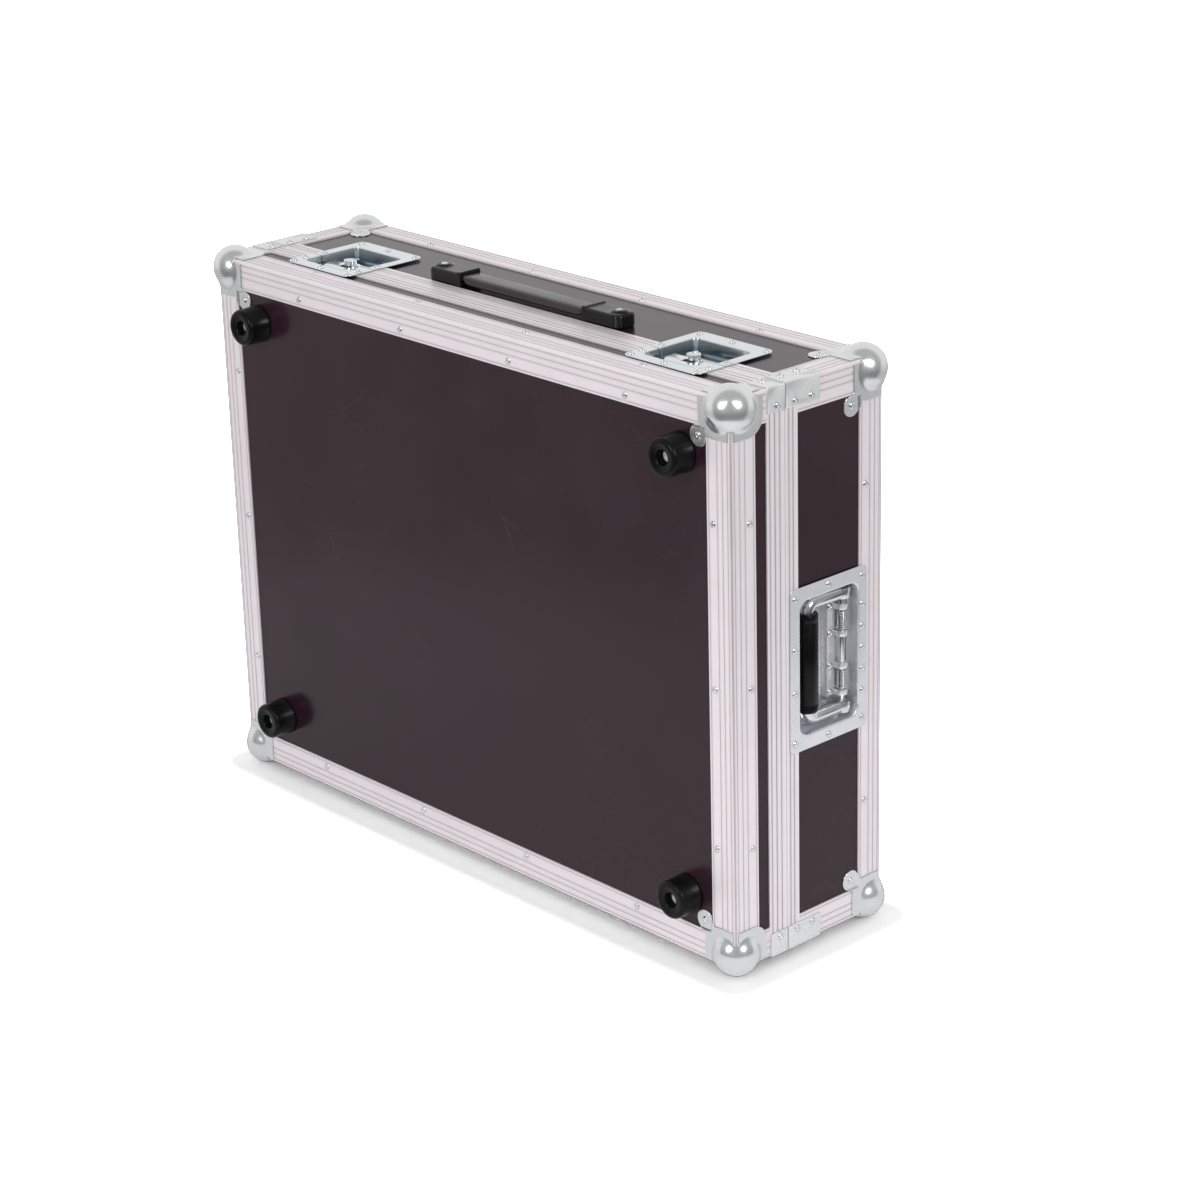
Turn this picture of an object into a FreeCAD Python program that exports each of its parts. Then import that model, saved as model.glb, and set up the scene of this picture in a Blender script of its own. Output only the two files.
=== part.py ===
import FreeCAD, Part
import math
import os

Vector = FreeCAD.Vector

# Overall size of the closed case, over its edge profiles
case_width = 731.0
case_height = 547.0
tray_depth = 66.7
lid_depth = 125.9
seam_gap = 0.4

# Film-faced plywood panels and the foam sheets glued to the two large ones
panel_thickness = 7.0
foam_thickness = 10.0
glue_gap = 0.3

# Aluminium edge profile with fine lengthwise flutes
leg_length = 30.0
leg_thickness = 1.5
profile_corner_radius = 2.5
flute_width = 1.1
flute_depth = 0.35
flute_shares = (0.14, 0.35, 0.56, 0.92)

# Two-part closing profile: the tray has the groove, the lid has the tongue
tray_closing_width = 22.4
lid_closing_width = 16.0
closing_inner_width = 12.0
web_thickness = 1.6
groove_depth = 7.0
tongue_length = 5.0
tongue_thickness = 2.5
tray_flute_shares = (0.16, 0.44, 0.72)
lid_flute_shares = (0.3, 0.62)

# Pop rivets
rivet_head_radius = 3.5
rivet_head_height = 1.5
rivet_rim_height = 0.3
rivet_dimple_radius = 1.2
rivet_dimple_depth = 0.7
rivet_bulge_share = 0.72
rivet_shank_radius = 1.9
rivet_shank_length = 6.0
rivet_inset = 22.5
rivet_pitch = 156.0
long_row_shares = (-1.5, -0.5, 0.5, 1.5)
short_row_shares = (-1.0, 0.0, 1.0)
drill_clearance = 0.1

# Ball corners, pressed from steel sheet
ball_radius = 22.2
ball_inset = 12.5
ball_sheet = 1.3
ball_leg_reach = 39.0
ball_plate_radius = 18.0
ear_inset = 40.0
ear_radius = 10.3
ear_joggle = 4.0
ball_slot_length = 11.0
ball_slot_width = 2.8
part_gap = 0.3

# Corner braces at the seam
brace_sheet = 1.2
brace_leg = 23.0
brace_corner_radius = 1.6
tray_brace_length = 21.6
lid_brace_length = 42.5
brace_rivet_inset = 17.5
tray_brace_rivet = 12.5
lid_brace_rivets = (12.0, 32.8)

# Rubber feet on the tray
foot_radius = 19.0
foot_face_radius = 18.2
foot_height = 25.0
foot_edge_radius = 1.5
foot_inset_side = 62.5
foot_inset_end = 60.0
foot_well_radius = 7.2
foot_well_depth = 13.0
foot_screw_radius = 3.0
foot_screw_head_radius = 5.4
foot_screw_head_height = 3.6
foot_screw_socket_radius = 1.9
foot_screw_socket_depth = 1.6
foot_washer_radius = 6.8
foot_washer_thickness = 1.4
screw_clearance = 0.2

# Recessed butterfly latches on the upper long side
latch_inset = 120.5
latch_sheet = 1.2
latch_flange_half = 48.5
latch_recess_half = 36.0
latch_recess_depth = 13.0
latch_corner_radius = 9.0
keeper_recess = 21.5
keeper_flange = 14.0
dish_recess = 46.0
dish_flange = 18.0
latch_cut_clearance = 0.4
latch_rivet_side = 42.3
latch_rivet_edge = 6.8
keeper_side_rivet = 14.7
dish_side_rivet = 9.0
lip_setback = 8.0
lip_thickness = 2.0
lip_half = 14.0
lip_clearance = 0.5
hub_setback = 8.0
pivot_radius = 2.5
pivot_head_radius = 4.5
pivot_head_height = 1.4
pivot_slot_width = 1.2
pivot_slot_depth = 0.6
rotor_base_radius = 12.0
rotor_base_thickness = 1.6
rotor_head_radius = 6.5
rotor_head_rise = 1.2
cam_radius = 9.0
cam_throw = 4.0
cam_slack = 1.3
hook_thickness = 2.0
hook_rail = 4.3
hook_reach = 20.0
hook_nose_half = 14.0
wing_radius = 27.0
wing_front = 18.0
wing_back = 2.4
wing_thickness = 2.4
wing_pin_depth = 5.4
wing_pin_radius = 1.3
wing_pin_length = 3.0
wing_knuckle_radius = 2.3
wing_knuckle_length = 4.0
wing_hub_gap = 0.5
wing_notch_gap = 3.3
pivot_head_gap = 0.1
running_gap = 0.3
fit_clearance = 0.05

# Hinges on the lower long side
hinge_inset = 175.5
hinge_length = 70.0
hinge_knuckles = 5
hinge_leaf_width = 26.0
hinge_sheet = 1.6
hinge_leaf_gap = 0.9
hinge_knuckle_radius = 4.0
hinge_pin_radius = 2.0
hinge_pin_head_radius = 3.0
hinge_pin_head_length = 1.5
hinge_drop = 4.4
hinge_rivet_setback = 12.0
hinge_rivet_spacing = 25.0

# Carry handle on the upper long side
cap_inner_end = 87.0
cap_length = 49.0
cap_width = 26.0
cap_height = 16.0
cap_end_radius = 8.0
cap_edge_radius = 2.0
cap_setback = 1.5
strap_width = 22.0
strap_thickness = 6.0
strap_edge_radius = 2.0
strap_gap = 6.5
strap_half = 72.0
strap_tail_end = 114.0
strap_fit = 0.4
cap_screw_place = 125.0
cap_screw_radius = 2.0
cap_screw_depth = 5.0
cap_screw_head_radius = 4.0
cap_screw_head_height = 1.0
cap_screw_crown_radius = 2.0
cap_screw_slot_width = 1.0
cap_screw_slot_depth = 0.5
cap_screw_tip_gap = 1.0

# Sprung handles in dishes on the two short sides
handle_setback = 4.4
handle_plate_width = 100.5
handle_plate_height = 159.0
handle_plate_radius = 5.0
handle_sheet = 1.2
handle_front_flange = 13.3
handle_rear_flange = 11.5
handle_end_flange = 14.5
handle_recess_radius = 10.0
handle_recess_depth = 22.0
handle_cut_clearance = 0.4
handle_rivet_edge = 6.0
handle_corner_rivet = 9.5
handle_rear_rivet_rows = (0.0, 21.0, 42.5)
handle_front_rivet_row = 21.0
rod_radius = 3.0
rod_depth = 9.5
rod_rear_gap = 10.8
rod_overhang = 1.5
bail_radius = 6.5
bail_bend_radius = 8.0
bail_end_gap = 9.0
bail_eye_radius = 8.0
bail_eye_height = 10.0
grip_radius = 10.5
grip_end_radius = 2.0
grip_front_gap = 19.2
bracket_inner_share = 0.3
bracket_eye_gap = 6.5
bracket_front = 13.7
bracket_depth = 14.7
bracket_end = 1.5
bracket_sheet = 1.2
bracket_ear_thickness = 5.0
bracket_ear_radius = 5.6
bracket_rivet_side = 10.0
spring_wire_radius = 0.75
spring_pitch = 2.2
spring_end_gap = 1.2
spring_tail_share = 0.5
spring_seat_gap = 0.3

# One overrun serves every cut
overrun = 2.0

# Places that follow from the sizes above
half_width = case_width / 2
mid_height = case_height / 2
lid_front = tray_depth + seam_gap
case_depth = lid_front + lid_depth
wall_depth = leg_thickness + panel_thickness
closing_depth = wall_depth + leg_thickness
closing_front = tray_depth - tray_closing_width
closing_rear = lid_front + lid_closing_width
tray_wall_end = tray_depth - groove_depth - web_thickness
lid_wall_start = lid_front + web_thickness
ball_rise = ball_radius - ball_inset
foot_face = leg_thickness - foot_height
panel_top = case_height - leg_thickness
latch_offset = half_width - latch_inset
hinge_offset = half_width - hinge_inset
handle_front = lid_front + handle_setback
recess_front = handle_front + handle_front_flange
recess_rear = handle_front + handle_plate_width - handle_rear_flange
recess_half_height = handle_plate_height / 2 - handle_end_flange
rod_line = recess_rear - rod_rear_gap
grip_line = recess_front + grip_front_gap
bail_half_height = recess_half_height - bail_end_gap
bracket_outer = bail_half_height - bail_eye_height / 2 - bracket_eye_gap
bracket_inner = bracket_outer * bracket_inner_share
bracket_rows = (bracket_inner + bracket_ear_thickness / 2, bracket_outer - bracket_ear_thickness / 2)
spring_room = bracket_rows[1] - bracket_rows[0] - bracket_ear_thickness
spring_length = spring_room - spring_wire_radius * 2 - spring_end_gap * 2
spring_turns = int(spring_length / spring_pitch - spring_tail_share)
axis_x = Vector(1, 0, 0)
axis_y = Vector(0, 1, 0)
axis_z = Vector(0, 0, 1)


def block(x, y, z):
    """Box between three (low, high) pairs."""
    return Part.makeBox(x[1] - x[0], y[1] - y[0], z[1] - z[0], Vector(x[0], y[0], z[0]))


def round_bar(radius, start, end):
    """Cylinder from one point to another."""
    return Part.makeCylinder(radius, (end - start).Length, start, end - start)


def prism(points, direction):
    """Straight prism on a closed polygon."""
    return Part.Face(Part.makePolygon(points + points[:1])).extrude(direction)


def joined(first, *others):
    """One solid made of pieces that touch or overlap."""
    return first.fuse(list(others)).removeSplitter()


def rounded(shape, radius, direction, wanted):
    """Round the straight edges along a direction whose middle is wanted."""
    edges = []
    for edge in shape.Edges:
        if len(edge.Vertexes) < 2:
            continue
        run = edge.Vertexes[1].Point - edge.Vertexes[0].Point
        straight = abs(abs(run.dot(direction)) - edge.Length) < Part.Precision.confusion()
        if straight and wanted(edge.CenterOfMass):
            edges.append(edge)
    return shape.makeFillet(radius, edges)


def mirror_x(shape):
    return shape.mirror(Vector(0, 0, 0), axis_x)


def mirror_y(shape):
    return shape.mirror(Vector(0, case_depth / 2, 0), axis_y)


def mirror_z(shape):
    return shape.mirror(Vector(0, 0, mid_height), axis_z)


def both_sides(shape):
    return [shape, mirror_x(shape)]


def top_and_bottom(shape):
    return [shape, mirror_z(shape)]


def four_corners(shape):
    return [copy for side in both_sides(shape) for copy in top_and_bottom(side)]


def turned(shape, origin, first, second):
    """Set a shape's own X and Y along two directions of the case."""
    moved = shape.copy()
    rotation = FreeCAD.Rotation(first, second, first.cross(second), "XYZ")
    moved.Placement = FreeCAD.Placement(origin, rotation)
    return moved


# Rivets: a domed head with a dimple, on a shank that ends inside the plywood
def rivet(seat, outward):
    flank = Vector(rivet_head_radius, 0, rivet_rim_height)
    crown = Vector(rivet_dimple_radius, 0, rivet_head_height)
    rise = rivet_head_height - rivet_rim_height
    shoulder_radius = rivet_dimple_radius + (rivet_head_radius - rivet_dimple_radius) * rivet_bulge_share
    shoulder = Vector(shoulder_radius, 0, rivet_rim_height + rise * rivet_bulge_share)
    dimple_floor = rivet_head_height - rivet_dimple_depth
    corners = [
        crown,
        Vector(rivet_dimple_radius, 0, dimple_floor),
        Vector(0, 0, dimple_floor),
        Vector(0, 0, -rivet_shank_length),
        Vector(rivet_shank_radius, 0, -rivet_shank_length),
        Vector(rivet_shank_radius, 0, 0),
        Vector(rivet_head_radius, 0, 0),
        flank,
    ]
    edges = Part.makePolygon(corners).Edges + [Part.Arc(flank, shoulder, crown).toShape()]
    solid = Part.Face(Part.Wire(edges)).revolve(Vector(0, 0, 0), axis_z, 360)
    solid.Placement = FreeCAD.Placement(seat, FreeCAD.Rotation(axis_z, outward))
    return solid


def rivet_hole(seat, outward):
    bottom = seat - outward * (rivet_shank_length + drill_clearance)
    return round_bar(rivet_shank_radius + drill_clearance, bottom, seat + outward * overrun)


def drilled(shape, holes):
    """Cut the holes that reach a shape, and give its solids."""
    near = [hole for hole in holes if hole.BoundBox.intersect(shape.BoundBox)]
    return (shape.cut(near) if near else shape).Solids


def on_both_sides(places):
    """Repeat (seat, outward) pairs across the middle of the width."""
    flipped = [(Vector(-p.x, p.y, p.z), Vector(-n.x, n.y, n.z)) for p, n in places]
    return places + flipped


def on_top_and_bottom(places):
    flipped = [(Vector(p.x, p.y, case_height - p.z), Vector(n.x, n.y, -n.z)) for p, n in places]
    return places + flipped


def on_the_lid(places):
    return [(Vector(p.x, case_depth - p.y, p.z), Vector(n.x, -n.y, n.z)) for p, n in places]


def edge_rivet_places(side_shares):
    """Rows along the edge profiles of the tray; the lid has the same, mirrored."""
    long_side = []
    for share in long_row_shares:
        x = share * rivet_pitch
        long_side.append((Vector(x, 0, case_height - rivet_inset), -axis_y))
        long_side.append((Vector(x, rivet_inset, case_height), axis_z))
    short_side = []
    for share in short_row_shares:
        z = mid_height + share * rivet_pitch
        short_side.append((Vector(half_width - rivet_inset, 0, z), -axis_y))
    for share in side_shares:
        z = mid_height + share * rivet_pitch
        short_side.append((Vector(half_width, rivet_inset, z), axis_x))
    return on_top_and_bottom(long_side) + on_both_sides(short_side)


def ear_rivet_places(faces):
    """One rivet in each ear of the ball corners; faces are 0 side, 1 front or back, 2 top or bottom."""
    level = leg_thickness - ball_sheet
    inward = (-axis_x, axis_y, -axis_z)
    corner = Vector(half_width, 0, case_height)
    places = []
    for face in faces:
        seat = corner + inward[face] * level
        seat += inward[(face + 1) % 3] * ear_inset + inward[(face + 2) % 3] * ear_inset
        places.append((seat, -inward[face]))
    return on_both_sides(on_top_and_bottom(places))


def brace_rivet_places(depths):
    places = []
    for y in depths:
        places.append((Vector(half_width - brace_rivet_inset, y, case_height + brace_sheet), axis_z))
        places.append((Vector(half_width + brace_sheet, y, case_height - brace_rivet_inset), axis_x))
    return on_both_sides(on_top_and_bottom(places))


def latch_rivet_places(side_depth, edge_depth):
    level = case_height + latch_sheet
    places = []
    for x in (-latch_rivet_side, latch_rivet_side):
        places.append((Vector(latch_offset + x, side_depth, level), axis_z))
        places.append((Vector(latch_offset + x, edge_depth, level), axis_z))
    places.append((Vector(latch_offset, edge_depth, level), axis_z))
    return on_both_sides(places)


def hinge_rivet_places(y):
    places = []
    for x in (-hinge_rivet_spacing, 0, hinge_rivet_spacing):
        places.append((Vector(hinge_offset + x, y, -hinge_sheet), -axis_z))
    return on_both_sides(places)


def side_handle_rivet_places():
    front = handle_front + handle_rivet_edge
    rear = handle_front + handle_plate_width - handle_rivet_edge
    middle = (front + rear) / 2
    corner = handle_plate_height / 2 - handle_corner_rivet
    end = handle_plate_height / 2 - handle_rivet_edge
    spots = [(front, corner), (middle, end), (rear, corner), (front, handle_front_rivet_row)]
    spots += [(rear, row) for row in handle_rear_rivet_rows]
    heights = [(y, sign * z) for y, z in spots for sign in (1, -1) if z or sign > 0]
    level = half_width + handle_sheet
    return on_both_sides([(Vector(level, y, mid_height + z), axis_x) for y, z in heights])


def bracket_rivet_places():
    level = half_width - bracket_depth
    y = rod_line - bracket_rivet_side
    heights = [mid_height + side * row for row in bracket_rows for side in (1, -1)]
    return on_both_sides([(Vector(level, y, z), axis_x) for z in heights])


def tray_rivet_places():
    places = edge_rivet_places(short_row_shares)
    places += ear_rivet_places((1,))
    places += brace_rivet_places((closing_front + tray_brace_rivet,))
    keeper_edge = tray_depth - keeper_recess - keeper_flange + latch_rivet_edge
    places += latch_rivet_places(tray_depth - keeper_side_rivet, keeper_edge)
    return places + hinge_rivet_places(tray_depth - hinge_rivet_setback)


def lid_rivet_places():
    outer_shares = (short_row_shares[0], short_row_shares[-1])
    places = on_the_lid(edge_rivet_places(outer_shares))
    places += on_the_lid(ear_rivet_places((0, 1, 2)))
    places += brace_rivet_places([lid_front + depth for depth in lid_brace_rivets])
    dish_edge = lid_front + dish_recess + dish_flange - latch_rivet_edge
    places += latch_rivet_places(lid_front + dish_side_rivet, dish_edge)
    places += hinge_rivet_places(lid_front + hinge_rivet_setback)
    return places + side_handle_rivet_places() + bracket_rivet_places()


tray_places = tray_rivet_places()
lid_places = lid_rivet_places()
tray_holes = [rivet_hole(seat, outward) for seat, outward in tray_places]
lid_holes = [rivet_hole(seat, outward) for seat, outward in lid_places]


# Openings cut through the walls for the latches and the side handles
def latch_cutouts():
    half = latch_recess_half + latch_sheet + latch_cut_clearance
    front = tray_depth - keeper_recess - latch_sheet - latch_cut_clearance
    front = min(front, closing_front)
    rear = lid_front + dish_recess + latch_sheet + latch_cut_clearance
    x = (latch_offset - half, latch_offset + half)
    z = (case_height - closing_depth - overrun, case_height + overrun)
    return both_sides(block(x, (front, rear), z))


def handle_recess(margin, depth, outside):
    """Rounded block of a side handle's recess, widened by a margin."""
    y = (recess_front - margin, recess_rear + margin)
    half = recess_half_height + margin
    z = (mid_height - half, mid_height + half)
    solid = block((half_width - depth, half_width + outside), y, z)
    return rounded(solid, handle_recess_radius + margin, axis_x, lambda point: True)


def handle_cutouts():
    margin = handle_sheet + handle_cut_clearance
    return both_sides(handle_recess(margin, closing_depth + overrun, overrun))


latch_openings = latch_cutouts()
handle_openings = handle_cutouts()


# Panels: the two large ones close the halves, the walls butt against them
def foot_places():
    x = half_width - foot_inset_side
    return [Vector(sx * x, 0, z) for sx in (1, -1) for z in (foot_inset_end, case_height - foot_inset_end)]


def large_panel():
    x = (leg_thickness - half_width, half_width - leg_thickness)
    return block(x, (leg_thickness, wall_depth), (leg_thickness, panel_top))


def tray_base_panel():
    radius = foot_screw_radius + screw_clearance
    through = axis_y * (wall_depth + overrun)
    bores = [round_bar(radius, place - axis_y * overrun, place + through) for place in foot_places()]
    return drilled(large_panel(), tray_holes + bores)


def lid_back_panel():
    return drilled(mirror_y(large_panel()), lid_holes)


def top_wall(front, rear):
    x = (leg_thickness - half_width, half_width - leg_thickness)
    return block(x, (front, rear), (case_height - wall_depth, panel_top))


def side_wall(front, rear):
    x = (half_width - wall_depth, half_width - leg_thickness)
    return block(x, (front, rear), (wall_depth, case_height - wall_depth))


def tray_top_wall():
    return drilled(top_wall(wall_depth, tray_wall_end), tray_holes + latch_openings)


def tray_bottom_wall():
    return drilled(mirror_z(top_wall(wall_depth, tray_wall_end)), tray_holes)


def tray_side_walls():
    walls = both_sides(side_wall(wall_depth, tray_wall_end))
    return [solid for wall in walls for solid in drilled(wall, tray_holes)]


def lid_top_wall():
    bores = [round_bar(cap_screw_radius + screw_clearance, low, high) for low, high in cap_screw_axes()]
    wall = top_wall(lid_wall_start, case_depth - wall_depth)
    return drilled(wall, lid_holes + latch_openings + bores)


def lid_bottom_wall():
    return drilled(mirror_z(top_wall(lid_wall_start, case_depth - wall_depth)), lid_holes)


def lid_side_walls():
    walls = both_sides(side_wall(lid_wall_start, case_depth - wall_depth))
    return [solid for wall in walls for solid in drilled(wall, lid_holes + handle_openings)]


# Edge profiles: angles of two legs, mitred where they meet
def angle_bar(leg, thickness, radius, length):
    """Angle whose outer edge runs along +Z from the origin, with legs along +X and +Y."""
    flat = block((0, leg), (0, thickness), (0, length))
    upright = block((0, thickness), (0, leg), (0, length))
    return rounded(joined(flat, upright), radius, axis_z, lambda point: point.x + point.y < thickness / 2)


def fluted_angle(length):
    bar = angle_bar(leg_length, leg_thickness, profile_corner_radius, length)
    flutes = []
    for share in flute_shares:
        middle = share * leg_length
        across = (middle - flute_width / 2, middle + flute_width / 2)
        deep = (-overrun, flute_depth)
        along = (-overrun, length + overrun)
        flutes.append(block(across, deep, along))
        flutes.append(block(deep, across, along))
    return bar.cut(flutes)


def long_mitre(depth, rear):
    """Room of the upper bar of a frame, cut at 45 degrees at both ends."""
    wide = half_width + overrun
    narrow = half_width - depth - overrun
    high = case_height + overrun
    low = case_height - depth - overrun
    points = [
        Vector(-wide, -overrun, high),
        Vector(wide, -overrun, high),
        Vector(narrow, -overrun, low),
        Vector(-narrow, -overrun, low),
    ]
    return prism(points, axis_y * (rear + overrun + overrun))


def short_mitre(depth, rear):
    """Room of the right-hand bar of a frame, cut at 45 degrees at both ends."""
    outer = half_width + overrun
    inner = half_width - depth - overrun
    step = depth + overrun
    points = [
        Vector(outer, -overrun, -overrun),
        Vector(outer, -overrun, case_height + overrun),
        Vector(inner, -overrun, case_height - step),
        Vector(inner, -overrun, step),
    ]
    return prism(points, axis_y * (rear + overrun + overrun))


def long_edges():
    bar = turned(fluted_angle(case_width), Vector(half_width, 0, case_height), axis_y, -axis_z)
    return top_and_bottom(bar.common(long_mitre(leg_length, leg_length)))


def short_edges():
    bar = turned(fluted_angle(case_height), Vector(half_width, 0, 0), axis_y, -axis_x)
    return both_sides(bar.common(short_mitre(leg_length, leg_length)))


def corner_edges(front, rear):
    bar = fluted_angle(rear - front)
    return four_corners(turned(bar, Vector(half_width, rear, case_height), -axis_x, -axis_z))


def all_drilled(bars, holes):
    return [solid for bar in bars for solid in drilled(bar, holes)]


def on_lid(bars):
    return [mirror_y(bar) for bar in bars]


# Closing profiles: local X runs inwards through the wall, local Y away from the feet
def closing_flutes(front, width, shares, length):
    flutes = []
    for share in shares:
        middle = front + share * width
        across = (middle - flute_width / 2, middle + flute_width / 2)
        flutes.append(block((-overrun, flute_depth), across, (-overrun, length + overrun)))
    return flutes


def tray_closing_bar(length):
    along = (0, length)
    outer = block((0, leg_thickness), (closing_front, tray_depth), along)
    inner = block((wall_depth, closing_depth), (tray_wall_end - closing_inner_width, tray_depth), along)
    web = block((0, closing_depth), (tray_wall_end, tray_wall_end + web_thickness), along)
    flutes = closing_flutes(closing_front, tray_closing_width, tray_flute_shares, length)
    return joined(outer, inner, web).cut(flutes)


def lid_closing_bar(length):
    along = (0, length)
    outer = block((0, leg_thickness), (lid_front, closing_rear), along)
    inner = block((wall_depth, closing_depth), (lid_front, lid_wall_start + closing_inner_width), along)
    web = block((0, closing_depth), (lid_front, lid_wall_start), along)
    middle = closing_depth / 2
    thick = (middle - tongue_thickness / 2, middle + tongue_thickness / 2)
    tongue = block(thick, (lid_front - tongue_length, lid_wall_start), along)
    flutes = closing_flutes(lid_front, lid_closing_width, lid_flute_shares, length)
    return joined(outer, inner, web, tongue).cut(flutes)


def closing_long(bar, holes):
    upper = turned(bar(case_width), Vector(-half_width, 0, case_height), -axis_z, axis_y)
    upper = upper.common(long_mitre(closing_depth, case_depth))
    return drilled(upper, holes + latch_openings) + drilled(mirror_z(upper), holes)


def closing_short(bar, holes):
    right = turned(bar(case_height), Vector(half_width, 0, case_height), -axis_x, axis_y)
    right = right.common(short_mitre(closing_depth, case_depth))
    return all_drilled(both_sides(right), holes)


# Ball corners: local axes run inwards from the side, the front and the top face
def face_block(face, first, second, deep):
    spans = [None, None, None]
    spans[face] = deep
    spans[(face + 1) % 3] = first
    spans[(face + 2) % 3] = second
    return block(*spans)


def face_plate(face):
    """Sheet on one face, well rounded at its far corner."""
    reach = (-ball_sheet, ball_leg_reach)
    plate = face_block(face, reach, reach, (-ball_sheet, 0))
    normal = (axis_x, axis_y, axis_z)[face]
    far = lambda point: point.x + point.y + point.z > ball_leg_reach
    return rounded(plate, ball_plate_radius, normal, far)


def face_ear(face):
    """Round ear that steps down beside the profiles to lie on the panel."""
    edge = leg_length + part_gap
    low = leg_thickness - ball_sheet
    centre = Vector(ear_inset, ear_inset, ear_inset)
    centre[face] = low
    normal = (axis_x, axis_y, axis_z)[face]
    far = (edge, ear_inset + ear_radius + overrun)
    disc = Part.makeCylinder(ear_radius, ball_sheet, centre, normal)
    lobe = disc.common(face_block(face, far, far, (low, leg_thickness)))
    step = (edge, edge + ear_joggle)
    riser = face_block(face, step, step, (-ball_sheet, leg_thickness))
    neck = face_block(face, (edge, ear_inset), (edge, ear_inset), (low, leg_thickness))
    return [lobe, riser, neck]


def ball_corner(ear_faces):
    inside = (0, ball_inset + ball_radius + overrun)
    ball = Part.makeSphere(ball_radius, Vector(ball_inset, ball_inset, ball_inset))
    ball = ball.cut(block(inside, inside, inside))
    sheets = []
    slots = []
    for face in range(3):
        sheets.append(face_plate(face))
        if face in ear_faces:
            sheets += face_ear(face)
        edge = (-ball_sheet - overrun, ball_slot_width)
        end = (ball_leg_reach - ball_slot_length, ball_leg_reach + overrun)
        slots.append(face_block(face, edge, edge, end))
    solid = joined(ball, *sheets).cut(slots)
    return turned(solid, Vector(half_width, 0, case_height), -axis_x, axis_y)


def tray_ball_corners():
    return all_drilled(four_corners(ball_corner((1,))), tray_holes)


def lid_ball_corners():
    return all_drilled(on_lid(four_corners(ball_corner((0, 1, 2)))), lid_holes)


def braces(front, length, holes):
    bar = angle_bar(brace_leg + brace_sheet, brace_sheet, brace_corner_radius, length)
    corner = Vector(half_width + brace_sheet, front + length, case_height + brace_sheet)
    return all_drilled(four_corners(turned(bar, corner, -axis_x, -axis_z)), holes)


# Rubber feet, each held by a screw and a washer in its well
def rubber_foot(place):
    base = place + axis_y * leg_thickness
    face = place + axis_y * foot_face
    body = Part.makeCone(foot_radius, foot_face_radius, foot_height, base, -axis_y)
    rim = [edge for edge in body.Edges if edge.BoundBox.YMax < foot_face + overrun and edge.Closed]
    body = body.makeFillet(foot_edge_radius, rim)
    well = round_bar(foot_well_radius, face - axis_y * overrun, face + axis_y * foot_well_depth)
    bore = round_bar(foot_screw_radius + screw_clearance, face, base + axis_y * overrun)
    return body.cut([well, bore])


def foot_washer(place):
    seat = place + axis_y * (foot_face + foot_well_depth)
    ring = round_bar(foot_washer_radius, seat - axis_y * foot_washer_thickness, seat)
    bore = round_bar(foot_screw_radius + screw_clearance, seat - axis_y * overrun, seat + axis_y * overrun)
    return ring.cut(bore)


def foot_screw(place):
    under = place + axis_y * (foot_face + foot_well_depth - foot_washer_thickness)
    top = under - axis_y * foot_screw_head_height
    head = round_bar(foot_screw_head_radius, top, under)
    socket_floor = top + axis_y * foot_screw_socket_depth
    socket = round_bar(foot_screw_socket_radius, top - axis_y * overrun, socket_floor)
    shank = round_bar(foot_screw_radius, under, place + axis_y * wall_depth)
    return joined(head, shank).cut(socket)


# Latches: the hub stands at the origin with the top face of the case at zero height
floor_low = -latch_recess_depth - latch_sheet
base_low = running_gap - latch_recess_depth
base_top = base_low + rotor_base_thickness
hook_low = base_top + running_gap
hook_top = hook_low + hook_thickness
cam_top = hook_top + running_gap
head_top = rotor_head_rise
hub_depth = lid_front + hub_setback


def latch_places():
    return [Vector(latch_offset, hub_depth, case_height), Vector(-latch_offset, hub_depth, case_height)]


def on_latches(shape):
    return [shape.translated(place) for place in latch_places()]


def latch_sheet_half(edge, recess_end, flange_end):
    """One half of the pressed recess: a flange round three walls and a floor."""
    low = min(edge, flange_end)
    high = max(edge, flange_end)
    half = latch_flange_half
    flange = block((-half, half), (low, high), (0, latch_sheet))
    flange = rounded(flange, latch_corner_radius, axis_z, lambda point: abs(point.y - flange_end) < overrun)
    inward = 1 if recess_end > edge else -1
    wall_end = recess_end + inward * latch_sheet
    wide = latch_recess_half + latch_sheet
    tub = block((-wide, wide), (min(edge, wall_end), max(edge, wall_end)), (floor_low, 0))
    opening_start = edge - inward * overrun
    mouth = (min(opening_start, recess_end), max(opening_start, recess_end))
    inside = (-latch_recess_half, latch_recess_half)
    hollow = block(inside, mouth, (-latch_recess_depth, latch_sheet + overrun))
    return joined(flange, tub).cut(hollow)


def latch_keeper():
    edge = tray_depth - part_gap - hub_depth
    recess_end = tray_depth - keeper_recess - hub_depth
    half = latch_sheet_half(edge, recess_end, recess_end - keeper_flange)
    lip_rear = tray_depth - lip_setback - hub_depth
    lip_top = hook_low - lip_clearance
    lip = block((-lip_half, lip_half), (lip_rear - lip_thickness, lip_rear), (-latch_recess_depth, lip_top))
    return joined(half, lip)


def latch_dish():
    edge = lid_front + part_gap - hub_depth
    recess_end = lid_front + dish_recess - hub_depth
    half = latch_sheet_half(edge, recess_end, recess_end + dish_flange)
    bore = round_bar(pivot_radius + fit_clearance, axis_z * (floor_low - overrun), Vector(0, 0, 0))
    return half.cut(bore)


def latch_pivot():
    foot_low = floor_low - pivot_head_height
    foot = round_bar(pivot_head_radius, axis_z * foot_low, axis_z * floor_low)
    top = head_top - fit_clearance
    head_low = top - pivot_head_height
    shaft = round_bar(pivot_radius, axis_z * floor_low, axis_z * head_low)
    head = round_bar(pivot_head_radius, axis_z * head_low, axis_z * top)
    slot = block(
        (-pivot_slot_width / 2, pivot_slot_width / 2),
        (-pivot_head_radius - overrun, pivot_head_radius + overrun),
        (top - pivot_slot_depth, top + overrun),
    )
    return joined(foot, shaft, head).cut(slot)


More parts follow.
